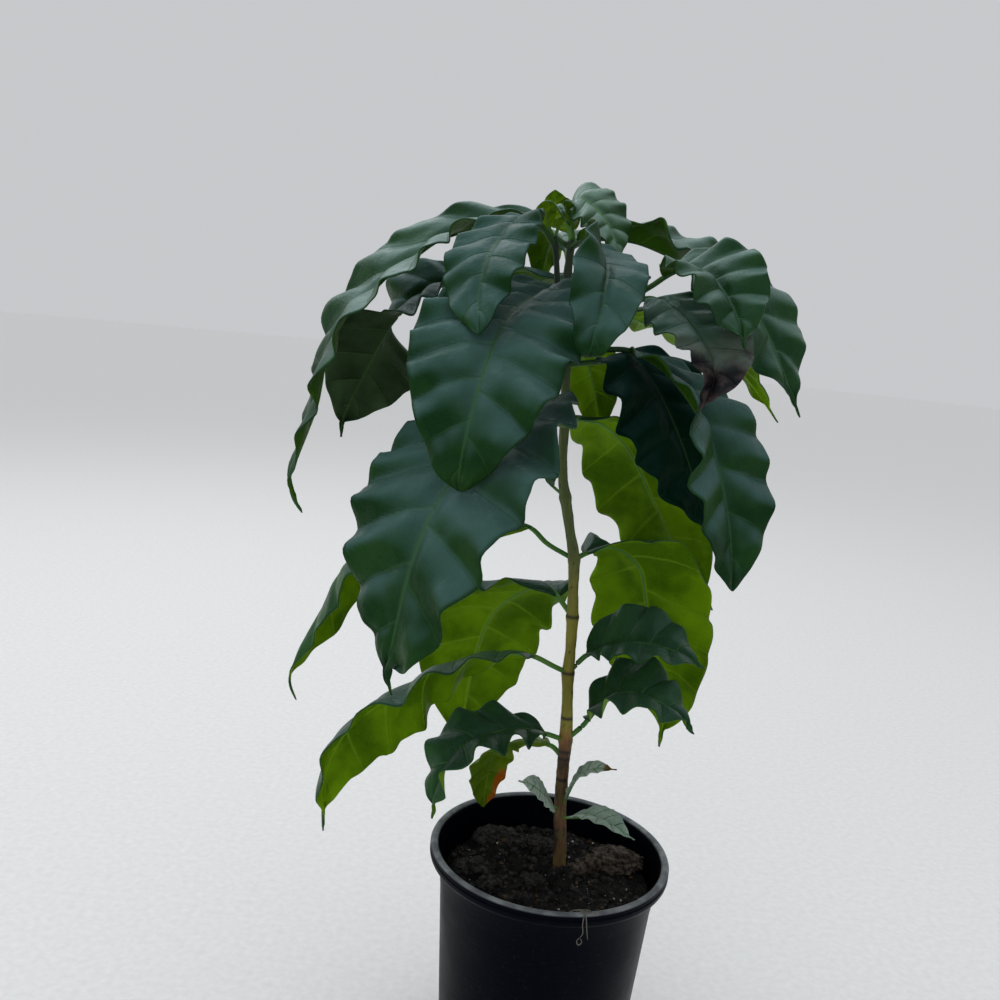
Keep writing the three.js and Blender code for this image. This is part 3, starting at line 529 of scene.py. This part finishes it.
def pot_material():
    """Black moulded plastic with a faint sheen, fine lines round it, scuffs, dust, and a rim top painted pale
    grey as wear and a painted highlight
    """
    material, shader, place = new_material("pot_plastic")
    scuff = ease(clouds(stretched(place, (26, 26, 9)), 1, 5, 0.65), 0.52, 0.72)
    dust = ease(clouds(place, 420, 3), 0.58, 0.74)
    colour = blend(scuff, (0.0004, 0.0008, 0.0024), (0.002, 0.0025, 0.0045))
    colour = blend(times(dust, 0.3), colour, (0.016, 0.016, 0.018))
    # The rim top painted pale grey: a painted highlight, together with wear
    rim = blend(ease(clouds(place, 110, 5), 0.35, 0.7), (0.11, 0.12, 0.13), (0.25, 0.265, 0.28))
    colour = blend(ease(split(place)[2], *RIM_WEAR_AND_HIGHLIGHT), colour, rim)
    rough = ease(clouds(place, 30, 4), 0.3, 0.75, 0.34, 0.5)
    fill(shader, Base_Color=colour, Roughness=rough, Specular_IOR_Level=0.06, Specular_Tint=(0.5, 0.62, 1, 1))
    bump(shader, plus(streaks(place, (4, 4, 900), 2), times(dust, 0.4)), 0.00012, 0.6)
    return material


def soil_material(name, deep, pale, scale=180):
    material, shader, place = new_material(name)
    grain = ease(clouds(place, scale, 6, 0.7), 0.35, 0.68)
    fill(shader, Base_Color=blend(grain, deep, pale), Roughness=0.95, Specular_IOR_Level=0.2)
    bump(shader, clouds(place, scale * 3, 6, 0.7), 0.0012)
    return material


def plain_material(name, colour, roughness):
    material, shader, place = new_material(name)
    shade = blend(clouds(place, 240), tuple(c * 0.8 for c in colour), colour)
    fill(shader, Base_Color=shade, Roughness=roughness)
    return material


# Pieces and their meshes


def deselect():
    bpy.ops.object.select_all(action="DESELECT")


def activate(piece):
    deselect()
    piece.select_set(True)
    bpy.context.view_layer.objects.active = piece


def smooth(piece):
    activate(piece)
    bpy.ops.object.shade_smooth()


def coat(piece, material):
    piece.data.materials.append(material)
    smooth(piece)


def edit(piece=None):
    """Opens the active piece, or the one given, in edit mode with all of it selected"""
    if piece:
        activate(piece)
    bpy.ops.object.mode_set(mode="EDIT")
    bpy.ops.mesh.select_all(action="SELECT")


def close_edit():
    """Turns all normals outward and leaves edit mode"""
    bpy.ops.mesh.select_all(action="SELECT")
    bpy.ops.mesh.normals_make_consistent(inside=False)
    bpy.ops.object.mode_set(mode="OBJECT")


def named(name):
    """The piece just made, under its own name"""
    piece = bpy.context.object
    piece.name = name
    piece.data.name = name
    return piece


def join(pieces, name):
    """Joins pieces into the first one, which keeps its own mesh's layers"""
    deselect()
    for piece in pieces:
        piece.select_set(True)
    bpy.context.view_layer.objects.active = pieces[0]
    bpy.ops.object.join()
    return named(name)


def apply_modifier(piece, kind, **settings):
    activate(piece)
    modifier = piece.modifiers.new(kind.title(), kind)
    for key, value in settings.items():
        setattr(modifier, key, value)
    bpy.ops.object.modifier_apply(modifier=modifier.name)


def vectors(collection, field):
    values = np.empty(len(collection) * 3)
    collection.foreach_get(field, values)
    return values.reshape(-1, 3)


def vertex_places(piece):
    return vectors(piece.data.vertices, "co")


def set_places(piece, places):
    piece.data.vertices.foreach_set("co", np.asarray(places, float).ravel())
    piece.data.update()


def dress(piece, slot, *nodes):
    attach(piece, "root")
    if nodes:
        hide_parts(*nodes)


def grid(name, rows, columns):
    """A grid one unit square whose x becomes the way along a piece and y the way across it"""
    deselect()
    bpy.ops.mesh.primitive_grid_add(x_subdivisions=rows, y_subdivisions=columns, size=1)
    return named(name)


# Curves and frames along a leaf or a limb


def unit(vectors):
    return vectors / np.maximum(np.linalg.norm(vectors, axis=-1, keepdims=True), 1e-12)


def smooth_line(points, steps=60):
    """A centripetal Catmull-Rom curve through points: its places, and the length run at each"""
    line = [np.array(point, float) for point in points]
    line = [2 * line[0] - line[1]] + line + [2 * line[-1] - line[-2]]
    places = []
    for before, start, end, after in zip(line, line[1:], line[2:], line[3:]):
        first, middle, last = [
            max(np.linalg.norm(b - a) ** 0.5, 1e-4) for a, b in ((before, start), (start, end), (end, after))
        ]
        leaving = (start - before) / first - (end - before) / (first + middle) + (end - start) / middle
        arriving = (end - start) / middle - (after - start) / (middle + last) + (after - end) / last
        leaving, arriving = leaving * middle, arriving * middle
        for step in range(steps):
            t = step / steps
            places.append(
                start + leaving * t + (3 * (end - start) - 2 * leaving - arriving) * t**2
                + (2 * (start - end) + leaving + arriving) * t**3
            )
    places.append(line[-2])
    places = np.array(places)
    run = np.concatenate([[0], np.cumsum(np.linalg.norm(np.diff(places, axis=0), axis=1))])
    return places, run


def along(line, share):
    """Places and ways at shares of a smooth line's length"""
    places, run = line
    ways = unit(np.gradient(places, axis=0))
    at = np.asarray(share) * run[-1]
    place = np.stack([np.interp(at, run, places[:, k]) for k in range(3)], -1)
    way = np.stack([np.interp(at, run, ways[:, k]) for k in range(3)], -1)
    return place, unit(way)


def spread(values, share):
    """The value at a share of the way through a list whose entries are spread evenly"""
    values = values if len(values) > 1 else list(values) * 2
    return np.interp(share, np.linspace(0, 1, len(values)), values)


def smooth_step(low, high, value):
    t = np.clip((value - low) / (high - low), 0, 1)
    return t * t * (3 - 2 * t)


def limb_at(line, height):
    """The place and radius of a limb at a height"""
    columns = np.array(line).T
    return np.array([np.interp(height, columns[2], column) for column in columns])


def leaf_line(leaf):
    """The smooth line of a leaf's stalk and midrib, from just inside the limb that carries it"""
    if "start" in leaf:
        return smooth_line([leaf["start"], *leaf["midrib"]])
    if "node" in leaf:
        x, y, z, radius = limb_at(STEM_LINE, leaf["node"])
    else:
        limb = SHOOT_LINES[leaf["shoot"]]
        x, y, z, radius = limb_at(limb, limb[-1][2] - SHOOT_NODE_DROP)
    way = unit(np.array(leaf["midrib"][0], float) - (x, y, z))
    level = max(math.hypot(way[0], way[1]), STEEPEST_SEAT)
    return smooth_line([np.array([x, y, z]) + way * (radius * STALK_SEAT) / level, *leaf["midrib"]])


def blade_frame(leaf, line, share):
    """The midrib's places, the blade's left side and its upper normal, at shares of the blade"""
    length = line[1][-1]
    stalk = leaf["stalk"] / length
    centre, way = along(line, stalk + (1 - stalk) * share)
    heading = np.radians(spread(leaf["heading"], share))
    bank = np.radians(spread(leaf.get("bank", [0]), share))
    side = np.stack([-np.sin(heading) * np.cos(bank), np.cos(heading) * np.cos(bank), np.sin(bank)], -1)
    side = unit(side - way * np.sum(side * way, -1, keepdims=True))
    return centre, side, np.cross(way, side)


def is_small(leaf):
    return leaf["width"] < SMALL_LEAF


def stalk_radius(leaf):
    return SMALL_STALK_RADIUS if is_small(leaf) else STALK_RADIUS


def half_width(leaf, share):
    """Half the blade's width: a full oval that ends in a drip tip, or blunt"""
    body = np.minimum(share / (1 if leaf.get("blunt") else TIP_SHARE), 1)
    full = np.maximum(np.sin(np.pi * body**OUTLINE_SKEW), 0) ** OUTLINE_FULLNESS
    tip = TIP_WIDTH * np.minimum((1 - share) / TIP_TAPER, 1) ** TIP_FULLNESS
    stalk = stalk_radius(leaf)
    return np.maximum(leaf["width"] / 2 * np.maximum(full, tip), stalk + (TIP_HALF_WIDTH - stalk) * share)


def ripple_turns(leaf, share, out, left):
    """How many ripples have passed, with whole numbers in the troughs, where the side veins run"""
    ripples = leaf.get("ripples", USUAL_RIPPLES)
    offset = np.where(left, 0, RIPPLE_OFFSET / (2 * np.pi))
    return ripples * (share - RIPPLE_SLANT * out) + offset + 0.25


def crumples(leaf, length, share, across, seed):
    """Uneven swellings of the blade in several sizes"""
    return sum(
        size * np.array([
            noise.noise(Vector((s * length / scale, a * leaf["width"] / 2 / scale, seed * 5.3)))
            for s, a in zip(share, across)
        ])
        for scale, size in CRUMPLES
    )


def blade_places(leaf, line, share, across, seed):
    """The places of the middle of the blade, across from -1 at the right margin to 1 at the left"""
    centre, side, up = blade_frame(leaf, line, share)
    left = across > 0
    out = np.abs(across)
    half = half_width(leaf, share)
    open_share = np.minimum(half / OPEN_HALF_WIDTH, 1)
    fold = np.radians(np.where(left, spread(leaf["left"], share), spread(leaf["right"], share))) * open_share
    turns = ripple_turns(leaf, share, out, left)
    swell = np.sqrt(np.maximum(np.sin(np.pi * share), 0))
    wave = WAVE_BOOST * leaf.get("wave", WAVE_PER_WIDTH * leaf["width"])
    uneven = 1 + UNEVEN_SHARE * np.sin(2 * np.pi * (share * 2.3 + seed * 0.37) + np.where(left, 0, 2))
    ripple = -wave * uneven * out**RIPPLE_REACH * np.cos(2 * np.pi * turns)
    crinkle_turns = turns * CRINKLE_PACE + seed * 0.61
    crinkle = CRINKLE * wave * out**3 * np.sin(2 * np.pi * crinkle_turns + np.where(left, 0, 1))
    pillow = 1 - np.abs(2 * (turns - np.floor(turns)) - 1) ** 3
    quilt = QUILT_PER_WIDTH * leaf["width"] * pillow * smooth_step(0.02, 0.25, out) * (1 - 0.45 * out)
    groove = -GROOVE_DEPTH * np.exp(-((out * half / GROOVE_HALF_WIDTH) ** 2))
    crumple = crumples(leaf, line[1][-1], share, across, seed) * smooth_step(0.02, 0.3, out)
    crumple = crumple * min(leaf["width"] / FULL_CRUMPLE_WIDTH, 1)
    droop = -SIDE_DROOP * half * out**2 * open_share
    lift = ((ripple + crinkle + crumple + quilt + groove) * swell + droop)[:, None]
    sideways = side * np.where(left, 1, -1)[:, None]
    outward = sideways * np.cos(fold)[:, None] + up * np.sin(fold)[:, None]
    normal = up * np.cos(fold)[:, None] - sideways * np.sin(fold)[:, None]
    wander = 1 + EDGE_WANDER * np.sin(2 * np.pi * (turns + 0.1) + seed) * swell
    return centre + outward * (half * wander * out)[:, None] + normal * lift


def blade(leaf, line, seed):
    """A thin blade with its own upper and under materials, and a map of its veins"""
    small = is_small(leaf)
    rows = round(leaf.get("ripples", USUAL_RIPPLES) * (SMALL_ROWS_PER_RIPPLE if small else ROWS_PER_RIPPLE))
    piece = grid(leaf["name"], rows, BLADE_COLUMNS // (2 if small else 1))
    flat = vertex_places(piece)
    share = flat[:, 0] + 0.5
    across = flat[:, 1] * 2
    set_places(piece, blade_places(leaf, line, share, across, seed) * MM)
    mesh = piece.data
    mesh.uv_layers[0].name = "blade"
    corners = np.empty(len(mesh.loops), int)
    mesh.loops.foreach_get("vertex_index", corners)
    sides = np.repeat([across[list(face.vertices)].mean() > 0 for face in mesh.polygons], 4)
    out = np.abs(across[corners])
    turns = ripple_turns(leaf, share[corners], out, sides)
    veins = mesh.uv_layers.new(name="veins")
    veins.data.foreach_set("uv", np.stack([(turns + 1) / VEIN_SCALE, out], -1).ravel())
    for material in leaf_materials(leaf["name"]):
        mesh.materials.append(material)
    thickness = BLADE_THICKNESS * (SMALL_BLADE_SHARE if small else 1) * MM
    apply_modifier(piece, "SOLIDIFY", thickness=thickness, offset=0, material_offset=1)
    return piece


def tube(name, centres, ways, radii, sides):
    """A closed tube along places in millimetres, with its own radius at each"""
    piece = grid(name, len(centres) - 1, sides)
    flat = vertex_places(piece)
    ring = np.rint((flat[:, 0] + 0.5) * (len(centres) - 1)).astype(int)
    angle = (flat[:, 1] + 0.5) * 2 * np.pi
    lead = unit(np.cross(ways, np.where(np.abs(ways[:, 2:]) > 0.8, [[1, 0, 0]], [[0, 0, 1]])))
    other = np.cross(ways, lead)
    arm = lead[ring] * np.cos(angle)[:, None] + other[ring] * np.sin(angle)[:, None]
    radius = radii(ring, angle) if callable(radii) else radii[ring]
    set_places(piece, (centres[ring] + arm * radius[:, None]) * MM)
    edit(piece)
    bpy.ops.mesh.remove_doubles(threshold=WELD)
    bpy.ops.mesh.fill_holes(sides=0)
    close_edit()
    return piece


def rib(leaf, line):
    """The stalk, which runs on as the raised midrib under the blade"""
    length = line[1][-1]
    share = np.linspace(0, RIB_END, 40 if is_small(leaf) else 72)
    centre, way = along(line, share)
    past_stalk = share * length - leaf["stalk"]
    blade_share = np.clip(past_stalk / (length - leaf["stalk"]), 0, 1)
    _, _, up = blade_frame(leaf, line, blade_share)
    on_blade = smooth_step(-0.02, 0.08, past_stalk / length)
    radius = stalk_radius(leaf) * (1 - on_blade * RIB_SLIMMING) * (1 - RIB_TAPER * blade_share)
    centre = centre - up * (radius * RIB_SINK * on_blade)[:, None]
    piece = tube(leaf["name"] + "_rib", centre, way, radius, 8)
    piece.data.uv_layers[0].name = "blade"
    piece.data.uv_layers.new(name="veins")
    return piece


def mark_skyward(piece):
    """How far each place of the skin faces the sky, from 0 to 1, for its painted bluish sheen"""
    facing = vectors(piece.data.vertex_normals, "vector")[:, 2]
    skyward = piece.data.attributes.new("skyward", "FLOAT", "POINT")
    skyward.data.foreach_set("value", np.clip(facing, 0, 1))


def make_leaf(leaf, seed):
    line = leaf_line(leaf)
    piece = blade(leaf, line, seed)
    stalk = rib(leaf, line)
    for material in piece.data.materials:
        stalk.data.materials.append(material)
    for face in stalk.data.polygons:
        face.material_index = 2
    name = leaf["name"]
    piece = join([piece, stalk], name + "_blade")
    smooth(piece)
    mark_skyward(piece)
    dress(piece, "leaf_young" if name in YOUNG else "leaf_first" if name in FIRST else "leaf", name)


for order, row in enumerate(LEAVES):
    make_leaf(row, order)


def make_limb(name, line, rings, sides, nodes, material, relief, foot=None):
    """A tapering limb with its bark's relief: long ridges, rougher down at a woody foot, and a swollen
    ring at each node"""
    centre, way = along(smooth_line([point[:3] for point in line]), np.linspace(0, 1, rings))
    radius = np.interp(centre[:, 2], [point[2] for point in line], [point[3] for point in line])

    def bark(ring, angle):
        height = centre[ring, 2]
        swelling = sum(NODE_SWELLING * np.exp(-(((height - node) / NODE_REACH) ** 2)) for node in nodes)
        rough = np.array([
            noise.noise(Vector((math.cos(a) * 1.8, math.sin(a) * 1.8, h * 0.16)))
            + 0.6 * noise.noise(Vector((math.cos(a) * 4.5, math.sin(a) * 4.5, h * 0.55 + 9)))
            for a, h in zip(angle, height)
        ])
        woody = 1 + 1.2 * smooth_step(*foot, height) if foot else 1
        return radius[ring] + swelling + relief * rough * woody

    piece = tube(name, centre, way, bark, sides)
    coat(piece, material)
    return piece


stem = make_limb("stem_bark", STEM_LINE, 420, 40, NODE_HEIGHTS, stem_material(), 0.16, WOODY_HEIGHTS)
dress(stem, "stem", "stem")
shoot_bark = shoot_material()
for node, line in zip(("left_shoot", "right_shoot"), SHOOT_LINES):
    shoot = make_limb(node + "_bark", line, 60, 20, (line[-1][2] - SHOOT_NODE_DROP,), shoot_bark, 0.07)
    dress(shoot, "shoot", node)

# Pot: its outline as radius and height, turned about the pot's axis
POT_OUTLINE = [
    (38, 0.6), (40, 0), (43.5, 0), (44.3, 0.4), (44.5, 1.2), (47.5, 41), (50.6, 83), (51.4, 89), (52.3, 94),
    (53, 97), (55.4, 98.2), (56.4, 98.8), (56.8, 99.6), (57, 100.4), (57, 101.6), (56.5, 102.1),
    (56.5, 102.5), (57, 103), (57, 103.8), (56.7, 104.5), (56.1, 104.9), (55.3, 105), (54.4, 104.9),
    (53.7, 104.5), (53.2, 103.9), (52.9, 103), (52.2, 99), (51.7, 97), (49.3, 83), (46.3, 42), (43.2, 2),
    (0.5, 2),
]
POT_STEPS = 144
DRAINS = 8
DRAIN_RADIUS = 3.5
DRAIN_CIRCLE = 31
DRILL_DEPTH = 12


def turn(name, outline, steps):
    """A round piece, extruded ring by ring from a circle and closed at both ends"""
    deselect()
    radius, height = outline[0]
    bpy.ops.mesh.primitive_circle_add(vertices=steps, radius=radius * MM, location=(0, 0, height * MM))
    piece = named(name)
    bpy.ops.object.transform_apply(location=True, rotation=True, scale=True)
    edit()
    bpy.ops.mesh.edge_face_add()
    bpy.ops.mesh.select_all(action="DESELECT")
    bpy.ops.object.mode_set(mode="OBJECT")
    for edge in piece.data.edges:
        edge.select = True
    for face in piece.data.polygons:
        face.select = False
    bpy.ops.object.mode_set(mode="EDIT")
    bpy.ops.mesh.select_mode(type="EDGE")
    for (near, low), (far, high) in zip(outline, outline[1:]):
        bpy.ops.mesh.extrude_edges_move()
        bpy.ops.transform.resize(value=(far / near, far / near, 1), center_override=(0, 0, low * MM))
        bpy.ops.transform.translate(value=(0, 0, (high - low) * MM))
    bpy.ops.mesh.edge_face_add()
    bpy.ops.mesh.select_mode(type="VERT")
    close_edit()
    return piece


pot = turn("pot_wall", POT_OUTLINE, POT_STEPS)
drills = []
for hole in range(DRAINS):
    angle = hole / DRAINS * 2 * math.pi
    deselect()
    bpy.ops.mesh.primitive_cylinder_add(
        vertices=24, radius=DRAIN_RADIUS * MM, depth=DRILL_DEPTH * MM,
        location=(DRAIN_CIRCLE * MM * math.cos(angle), DRAIN_CIRCLE * MM * math.sin(angle), 0),
    )
    drills.append(bpy.context.object)
drill = join(drills, "drain_drill")
apply_modifier(pot, "BOOLEAN", operation="DIFFERENCE", object=drill, solver="EXACT")
bpy.data.objects.remove(drill)
pot.data.materials.clear()
pot.data.materials.append(pot_material())
activate(pot)
bpy.ops.object.shade_smooth_by_angle(angle=math.radians(40))
dress(pot, "pot", "pot")

# Soil: a lumpy top over the root ball, with mounds as x, y, radius and height
SOIL_LEVEL = 91
SOIL_RADIUS = 49.4
SOIL_DEPTH = 12
SOIL_FLOOR = 78
SOIL_FOOT_SHARE = 0.96
SOIL_RINGS = 110
SOIL_SECTORS = 240
CRUMB_REACH = 47.5
CRUMB_LIFT = 0.2
MOUNDS = [
    (6, 0, 15, 6), (33, 12, 15, 2), (-36, -8, 12, 4), (-22, 22, 16, 5), (14, 8, 10, 3), (-12, -30, 10, 2),
    (24, -26, 10, 2), (-4, 26, 10, 3),
]


def soil_height(x, y):
    """The soil's top in millimetres: level in the middle, lower at the wall, with lumps and mounds"""
    reach = math.hypot(x, y) / SOIL_RADIUS
    lumps = noise.fractal(Vector((x * 0.09, y * 0.09, 3)), 0.8, 2.1, 6)
    grit = abs(noise.fractal(Vector((x * 0.45, y * 0.45, 8)), 0.7, 2, 4))
    rise = 1.8 * lumps + 1.6 * grit - 2.5 * reach**4
    for cx, cy, size, tall in MOUNDS:
        away = math.hypot(x - cx, y - cy) / size
        rise += tall * max(0, 1 - away**2) ** 1.5 * (1 + 0.35 * noise.noise(Vector((x * 0.3, y * 0.3, 1))))
    return SOIL_LEVEL - 1 + rise


def make_soil():
    """The soil's top, bent from a grid into a disc, with a skirt and a flat floor inside the pot"""
    piece = grid("soil_top", SOIL_RINGS, SOIL_SECTORS)
    flat = vertex_places(piece)
    reach = (flat[:, 0] + 0.5) * SOIL_RADIUS
    angle = (flat[:, 1] + 0.5) * 2 * math.pi
    x, y = reach * np.cos(angle), reach * np.sin(angle)
    z = [soil_height(a, b) for a, b in zip(x, y)]
    set_places(piece, np.stack([x, y, z], -1) * MM)
    edit(piece)
    bpy.ops.mesh.remove_doubles(threshold=WELD)
    bpy.ops.mesh.select_all(action="DESELECT")
    bpy.ops.mesh.select_non_manifold()
    bpy.ops.mesh.extrude_edges_move(TRANSFORM_OT_translate={"value": (0, 0, -SOIL_DEPTH * MM)})
    shrink = (SOIL_FOOT_SHARE, SOIL_FOOT_SHARE, 0)
    bpy.ops.transform.resize(value=shrink, center_override=(0, 0, SOIL_FLOOR * MM))
    bpy.ops.mesh.edge_face_add()
    close_edit()
    return piece


soil = make_soil()
coat(soil, soil_material("peat", (0.0024, 0.0022, 0.0024), (0.022, 0.02, 0.019)))
dress(soil, "soil", "soil")


def stone(name, rng, squash):
    """A small rough lump one millimetre in radius, made once and copied"""
    deselect()
    bpy.ops.mesh.primitive_ico_sphere_add(subdivisions=2, radius=MM)
    piece = named(name)
    places = vertex_places(piece)
    rng.random(len(places))  # moves the draws on to where the scatter has always begun
    swell = np.array([noise.noise(Vector(place / MM * 1.4) + Vector((0, 0, 1))) for place in places])
    set_places(piece, places * (1 + 0.45 * swell[:, None]) * (1, 0.8, squash))
    return piece


def scatter(name, pattern, count, rng, low, high, material):
    """Many turned copies of a stone at random spots on the soil, sized between low and high, in one mesh"""
    corners = vertex_places(pattern)
    faces = [tuple(face.vertices) for face in pattern.data.polygons]
    all_places, all_faces = [], []
    for copy in range(count):
        angle = rng.uniform(0, 2 * math.pi)
        reach = CRUMB_REACH * math.sqrt(rng.uniform(0.01, 1))
        x, y = reach * math.cos(angle), reach * math.sin(angle)
        spot = np.array([x, y, soil_height(x, y) + CRUMB_LIFT]) * MM
        size = low + (high - low) * rng.random() ** 3
        turned = Matrix.Rotation(rng.uniform(0, 6.28), 3, "Z") @ Matrix.Rotation(rng.uniform(-1, 1), 3, "X")
        all_places.append(corners @ np.array(turned).T * size + spot)
        all_faces += [tuple(index + len(corners) * copy for index in face) for face in faces]
    mesh = bpy.data.meshes.new(name)
    mesh.from_pydata(np.concatenate(all_places).tolist(), [], all_faces)
    piece = bpy.data.objects.new(name, mesh)
    bpy.context.collection.objects.link(piece)
    mesh.materials.append(material)
    bpy.data.objects.remove(pattern)
    dress(piece, "soil")


rng = np.random.default_rng(7)
for name, count, low, high, squash, material in (
    ("peat_crumbs", 1100, 0.35, 2.2, 0.7,
     soil_material("peat_crumb", (0.005, 0.0045, 0.0045), (0.055, 0.053, 0.052), 300)),
    ("brown_bits", 190, 0.5, 2.2, 0.4,
     soil_material("brown_bit", (0.03, 0.018, 0.01), (0.12, 0.08, 0.05), 300)),
    ("pale_specks", 90, 0.2, 0.8, 0.7, plain_material("pale_speck", (0.42, 0.42, 0.4), 0.8)),
):
    scatter(name, stone("pattern", rng, squash), count, rng, low, high, material)


def clod(name, place, size, material):
    """A crumbly lump of soil: a squashed ball, roughened in two sizes of grain"""
    deselect()
    bpy.ops.mesh.primitive_ico_sphere_add(subdivisions=5, radius=1)
    piece = named(name)
    ball = vertex_places(piece)
    spot = Vector(place)
    rough = np.array([
        0.3 * noise.noise(Vector(p * 1.5) + spot) + 0.16 * noise.fractal(Vector(p * 4) + spot, 0.7, 2.2, 4)
        for p in ball
    ])
    set_places(piece, (ball * size * (1 + rough[:, None]) + place) * MM)
    coat(piece, material)
    dress(piece, "soil")


clod_brown = soil_material("clod_brown", (0.012, 0.009, 0.007), (0.15, 0.12, 0.095), 360)
clod_dark = soil_material("clod_dark", (0.005, 0.0045, 0.0045), (0.06, 0.055, 0.052), 360)
for row in (
    ("clod_right", (34.5, 13, 93.5), (13, 9, 6.2), clod_brown),
    ("clod_right_small", (21.5, 6, 93.5), (5, 4, 5.5), clod_brown),
    ("clod_foot", (14, 1, 93), (5.5, 5, 5), clod_brown),
    ("clod_left", (-36, -6, 92), (8, 7, 6), clod_dark),
    ("clod_left_front", (-27, -17, 91.5), (6, 5, 4.5), clod_dark),
    ("clod_back", (-24, 25, 92), (12, 9, 6), clod_dark),
    ("clod_middle", (-7, -11, 91.5), (7, 5, 4), clod_dark),
    ("clod_front", (-13, -27, 91.5), (4, 3.5, 4), clod_dark),
    ("clod_behind", (-2, 22, 92), (7, 6, 4.5), clod_dark),
):
    clod(*row)


def fibre(name, points, radius, material):
    """A dry root or straw, thinning toward both ends"""
    share = np.linspace(0, 1, 26)
    centre, way = along(smooth_line(points), share)
    piece = tube(name, centre, way, radius * (0.35 + 0.65 * np.sin(np.pi * share) ** 0.5), 6)
    coat(piece, material)
    return piece


ROOTLET = [(-2, -47, 93), (0, -48.5, 96), (3, -50.5, 99.5), (6, -52, 103), (8, -53.6, 105.3)]
STRAWS = [
    [(12, -50, 100), (13, -53, 105.6), (13.5, -56.5, 105.8), (14, -58, 103), (14.6, -57.9, 99),
     (15.4, -57.2, 95)],
    [(15, -50, 101), (14.4, -53, 105.7), (13, -56.4, 105.8), (12.4, -58.1, 102.5), (12.9, -57.9, 98),
     (12, -57, 95.5)],
    [(9, -51, 101), (10.6, -53.5, 105.8), (14, -55, 105.9), (17, -54.4, 106), (19, -52.5, 104),
     (20, -50, 100)],
    [(17.5, -50, 101), (15.6, -52.6, 105.6), (11.5, -53.6, 106.2), (8.4, -53.8, 105.8), (6.4, -52.6, 104)],
    [(12, -57, 95.5), (10.8, -57.4, 94), (11.6, -57.8, 92.6), (13, -57.2, 93.4), (12.4, -56.6, 95)],
]
straw = plain_material("dry_straw", (0.13, 0.12, 0.1), 0.8)
pale_root = plain_material("pale_root", (0.3, 0.29, 0.26), 0.7)
dress(fibre("rootlet", ROOTLET, 0.4, pale_root), "soil")
straws = [fibre(f"straw_{index}", points, 0.28, straw) for index, points in enumerate(STRAWS)]
dress(join(straws, "dry_straws"), "soil")

# Floor, camera and light
deselect()
bpy.ops.mesh.primitive_circle_add(vertices=96, radius=12, fill_type="NGON", location=(0, 0, -0.0002))
floor = bpy.context.object
floor.name = "floor"
floor.data.materials.append(plain_material("pale_floor", (0.93, 0.93, 0.92), 0.9))

pitch, roll = math.radians(CAMERA_PITCH), math.radians(CAMERA_ROLL)
right = Vector((math.cos(roll), math.sin(roll) * math.sin(pitch), math.sin(roll) * math.cos(pitch)))
up = Vector((-math.sin(roll), math.cos(roll) * math.sin(pitch), math.cos(roll) * math.cos(pitch)))
ahead = Vector((0, math.cos(pitch), -math.sin(pitch)))
camera_data = bpy.data.cameras.new("camera")
camera_data.lens = 36
camera_data.sensor_width = 36
camera_data.clip_start = 0.01
camera = bpy.data.objects.new("camera", camera_data)
seat = Matrix((right, up, -ahead)).transposed().to_4x4()
seat.translation = CAMERA_PLACE
camera.matrix_world = seat
bpy.context.collection.objects.link(camera)
bpy.context.scene.camera = camera

world = bpy.data.worlds.new("soft_sky")
world.use_nodes = True
sky_tree = world.node_tree
sky_way = split(own_place(sky_tree))
behind = ease(sky_way[1], -0.9, 0.5, 0.33, 0.6)
overhead = ease(sky_way[2], 0.3, 0.9, 0, 0.3)
fill(sky_tree.nodes["Background"], Strength=plus(behind, overhead), Color=(0.95, 0.97, 1, 1))
bpy.context.scene.world = world
bpy.context.scene.view_settings.view_transform = "Standard"


def softbox(name, place, target, size, power, colour):
    light_data = bpy.data.lights.new(name, "AREA")
    light_data.shape = "RECTANGLE"
    light_data.size, light_data.size_y = size
    light_data.energy = power
    light_data.color = colour
    light = bpy.data.objects.new(name, light_data)
    light.location = place
    light.rotation_euler = (Vector(target) - Vector(place)).to_track_quat("-Z", "Y").to_euler()
    bpy.context.collection.objects.link(light)


softbox("sky_panel", (-0.6, 0.7, 1.5), (0, 0, 0.25), (1.6, 1.2), 8, (0.95, 0.97, 1))
softbox("front_fill", (-0.7, -1.3, 0.9), (0, 0, 0.2), (1.2, 1.0), 3, (1, 0.98, 0.95))
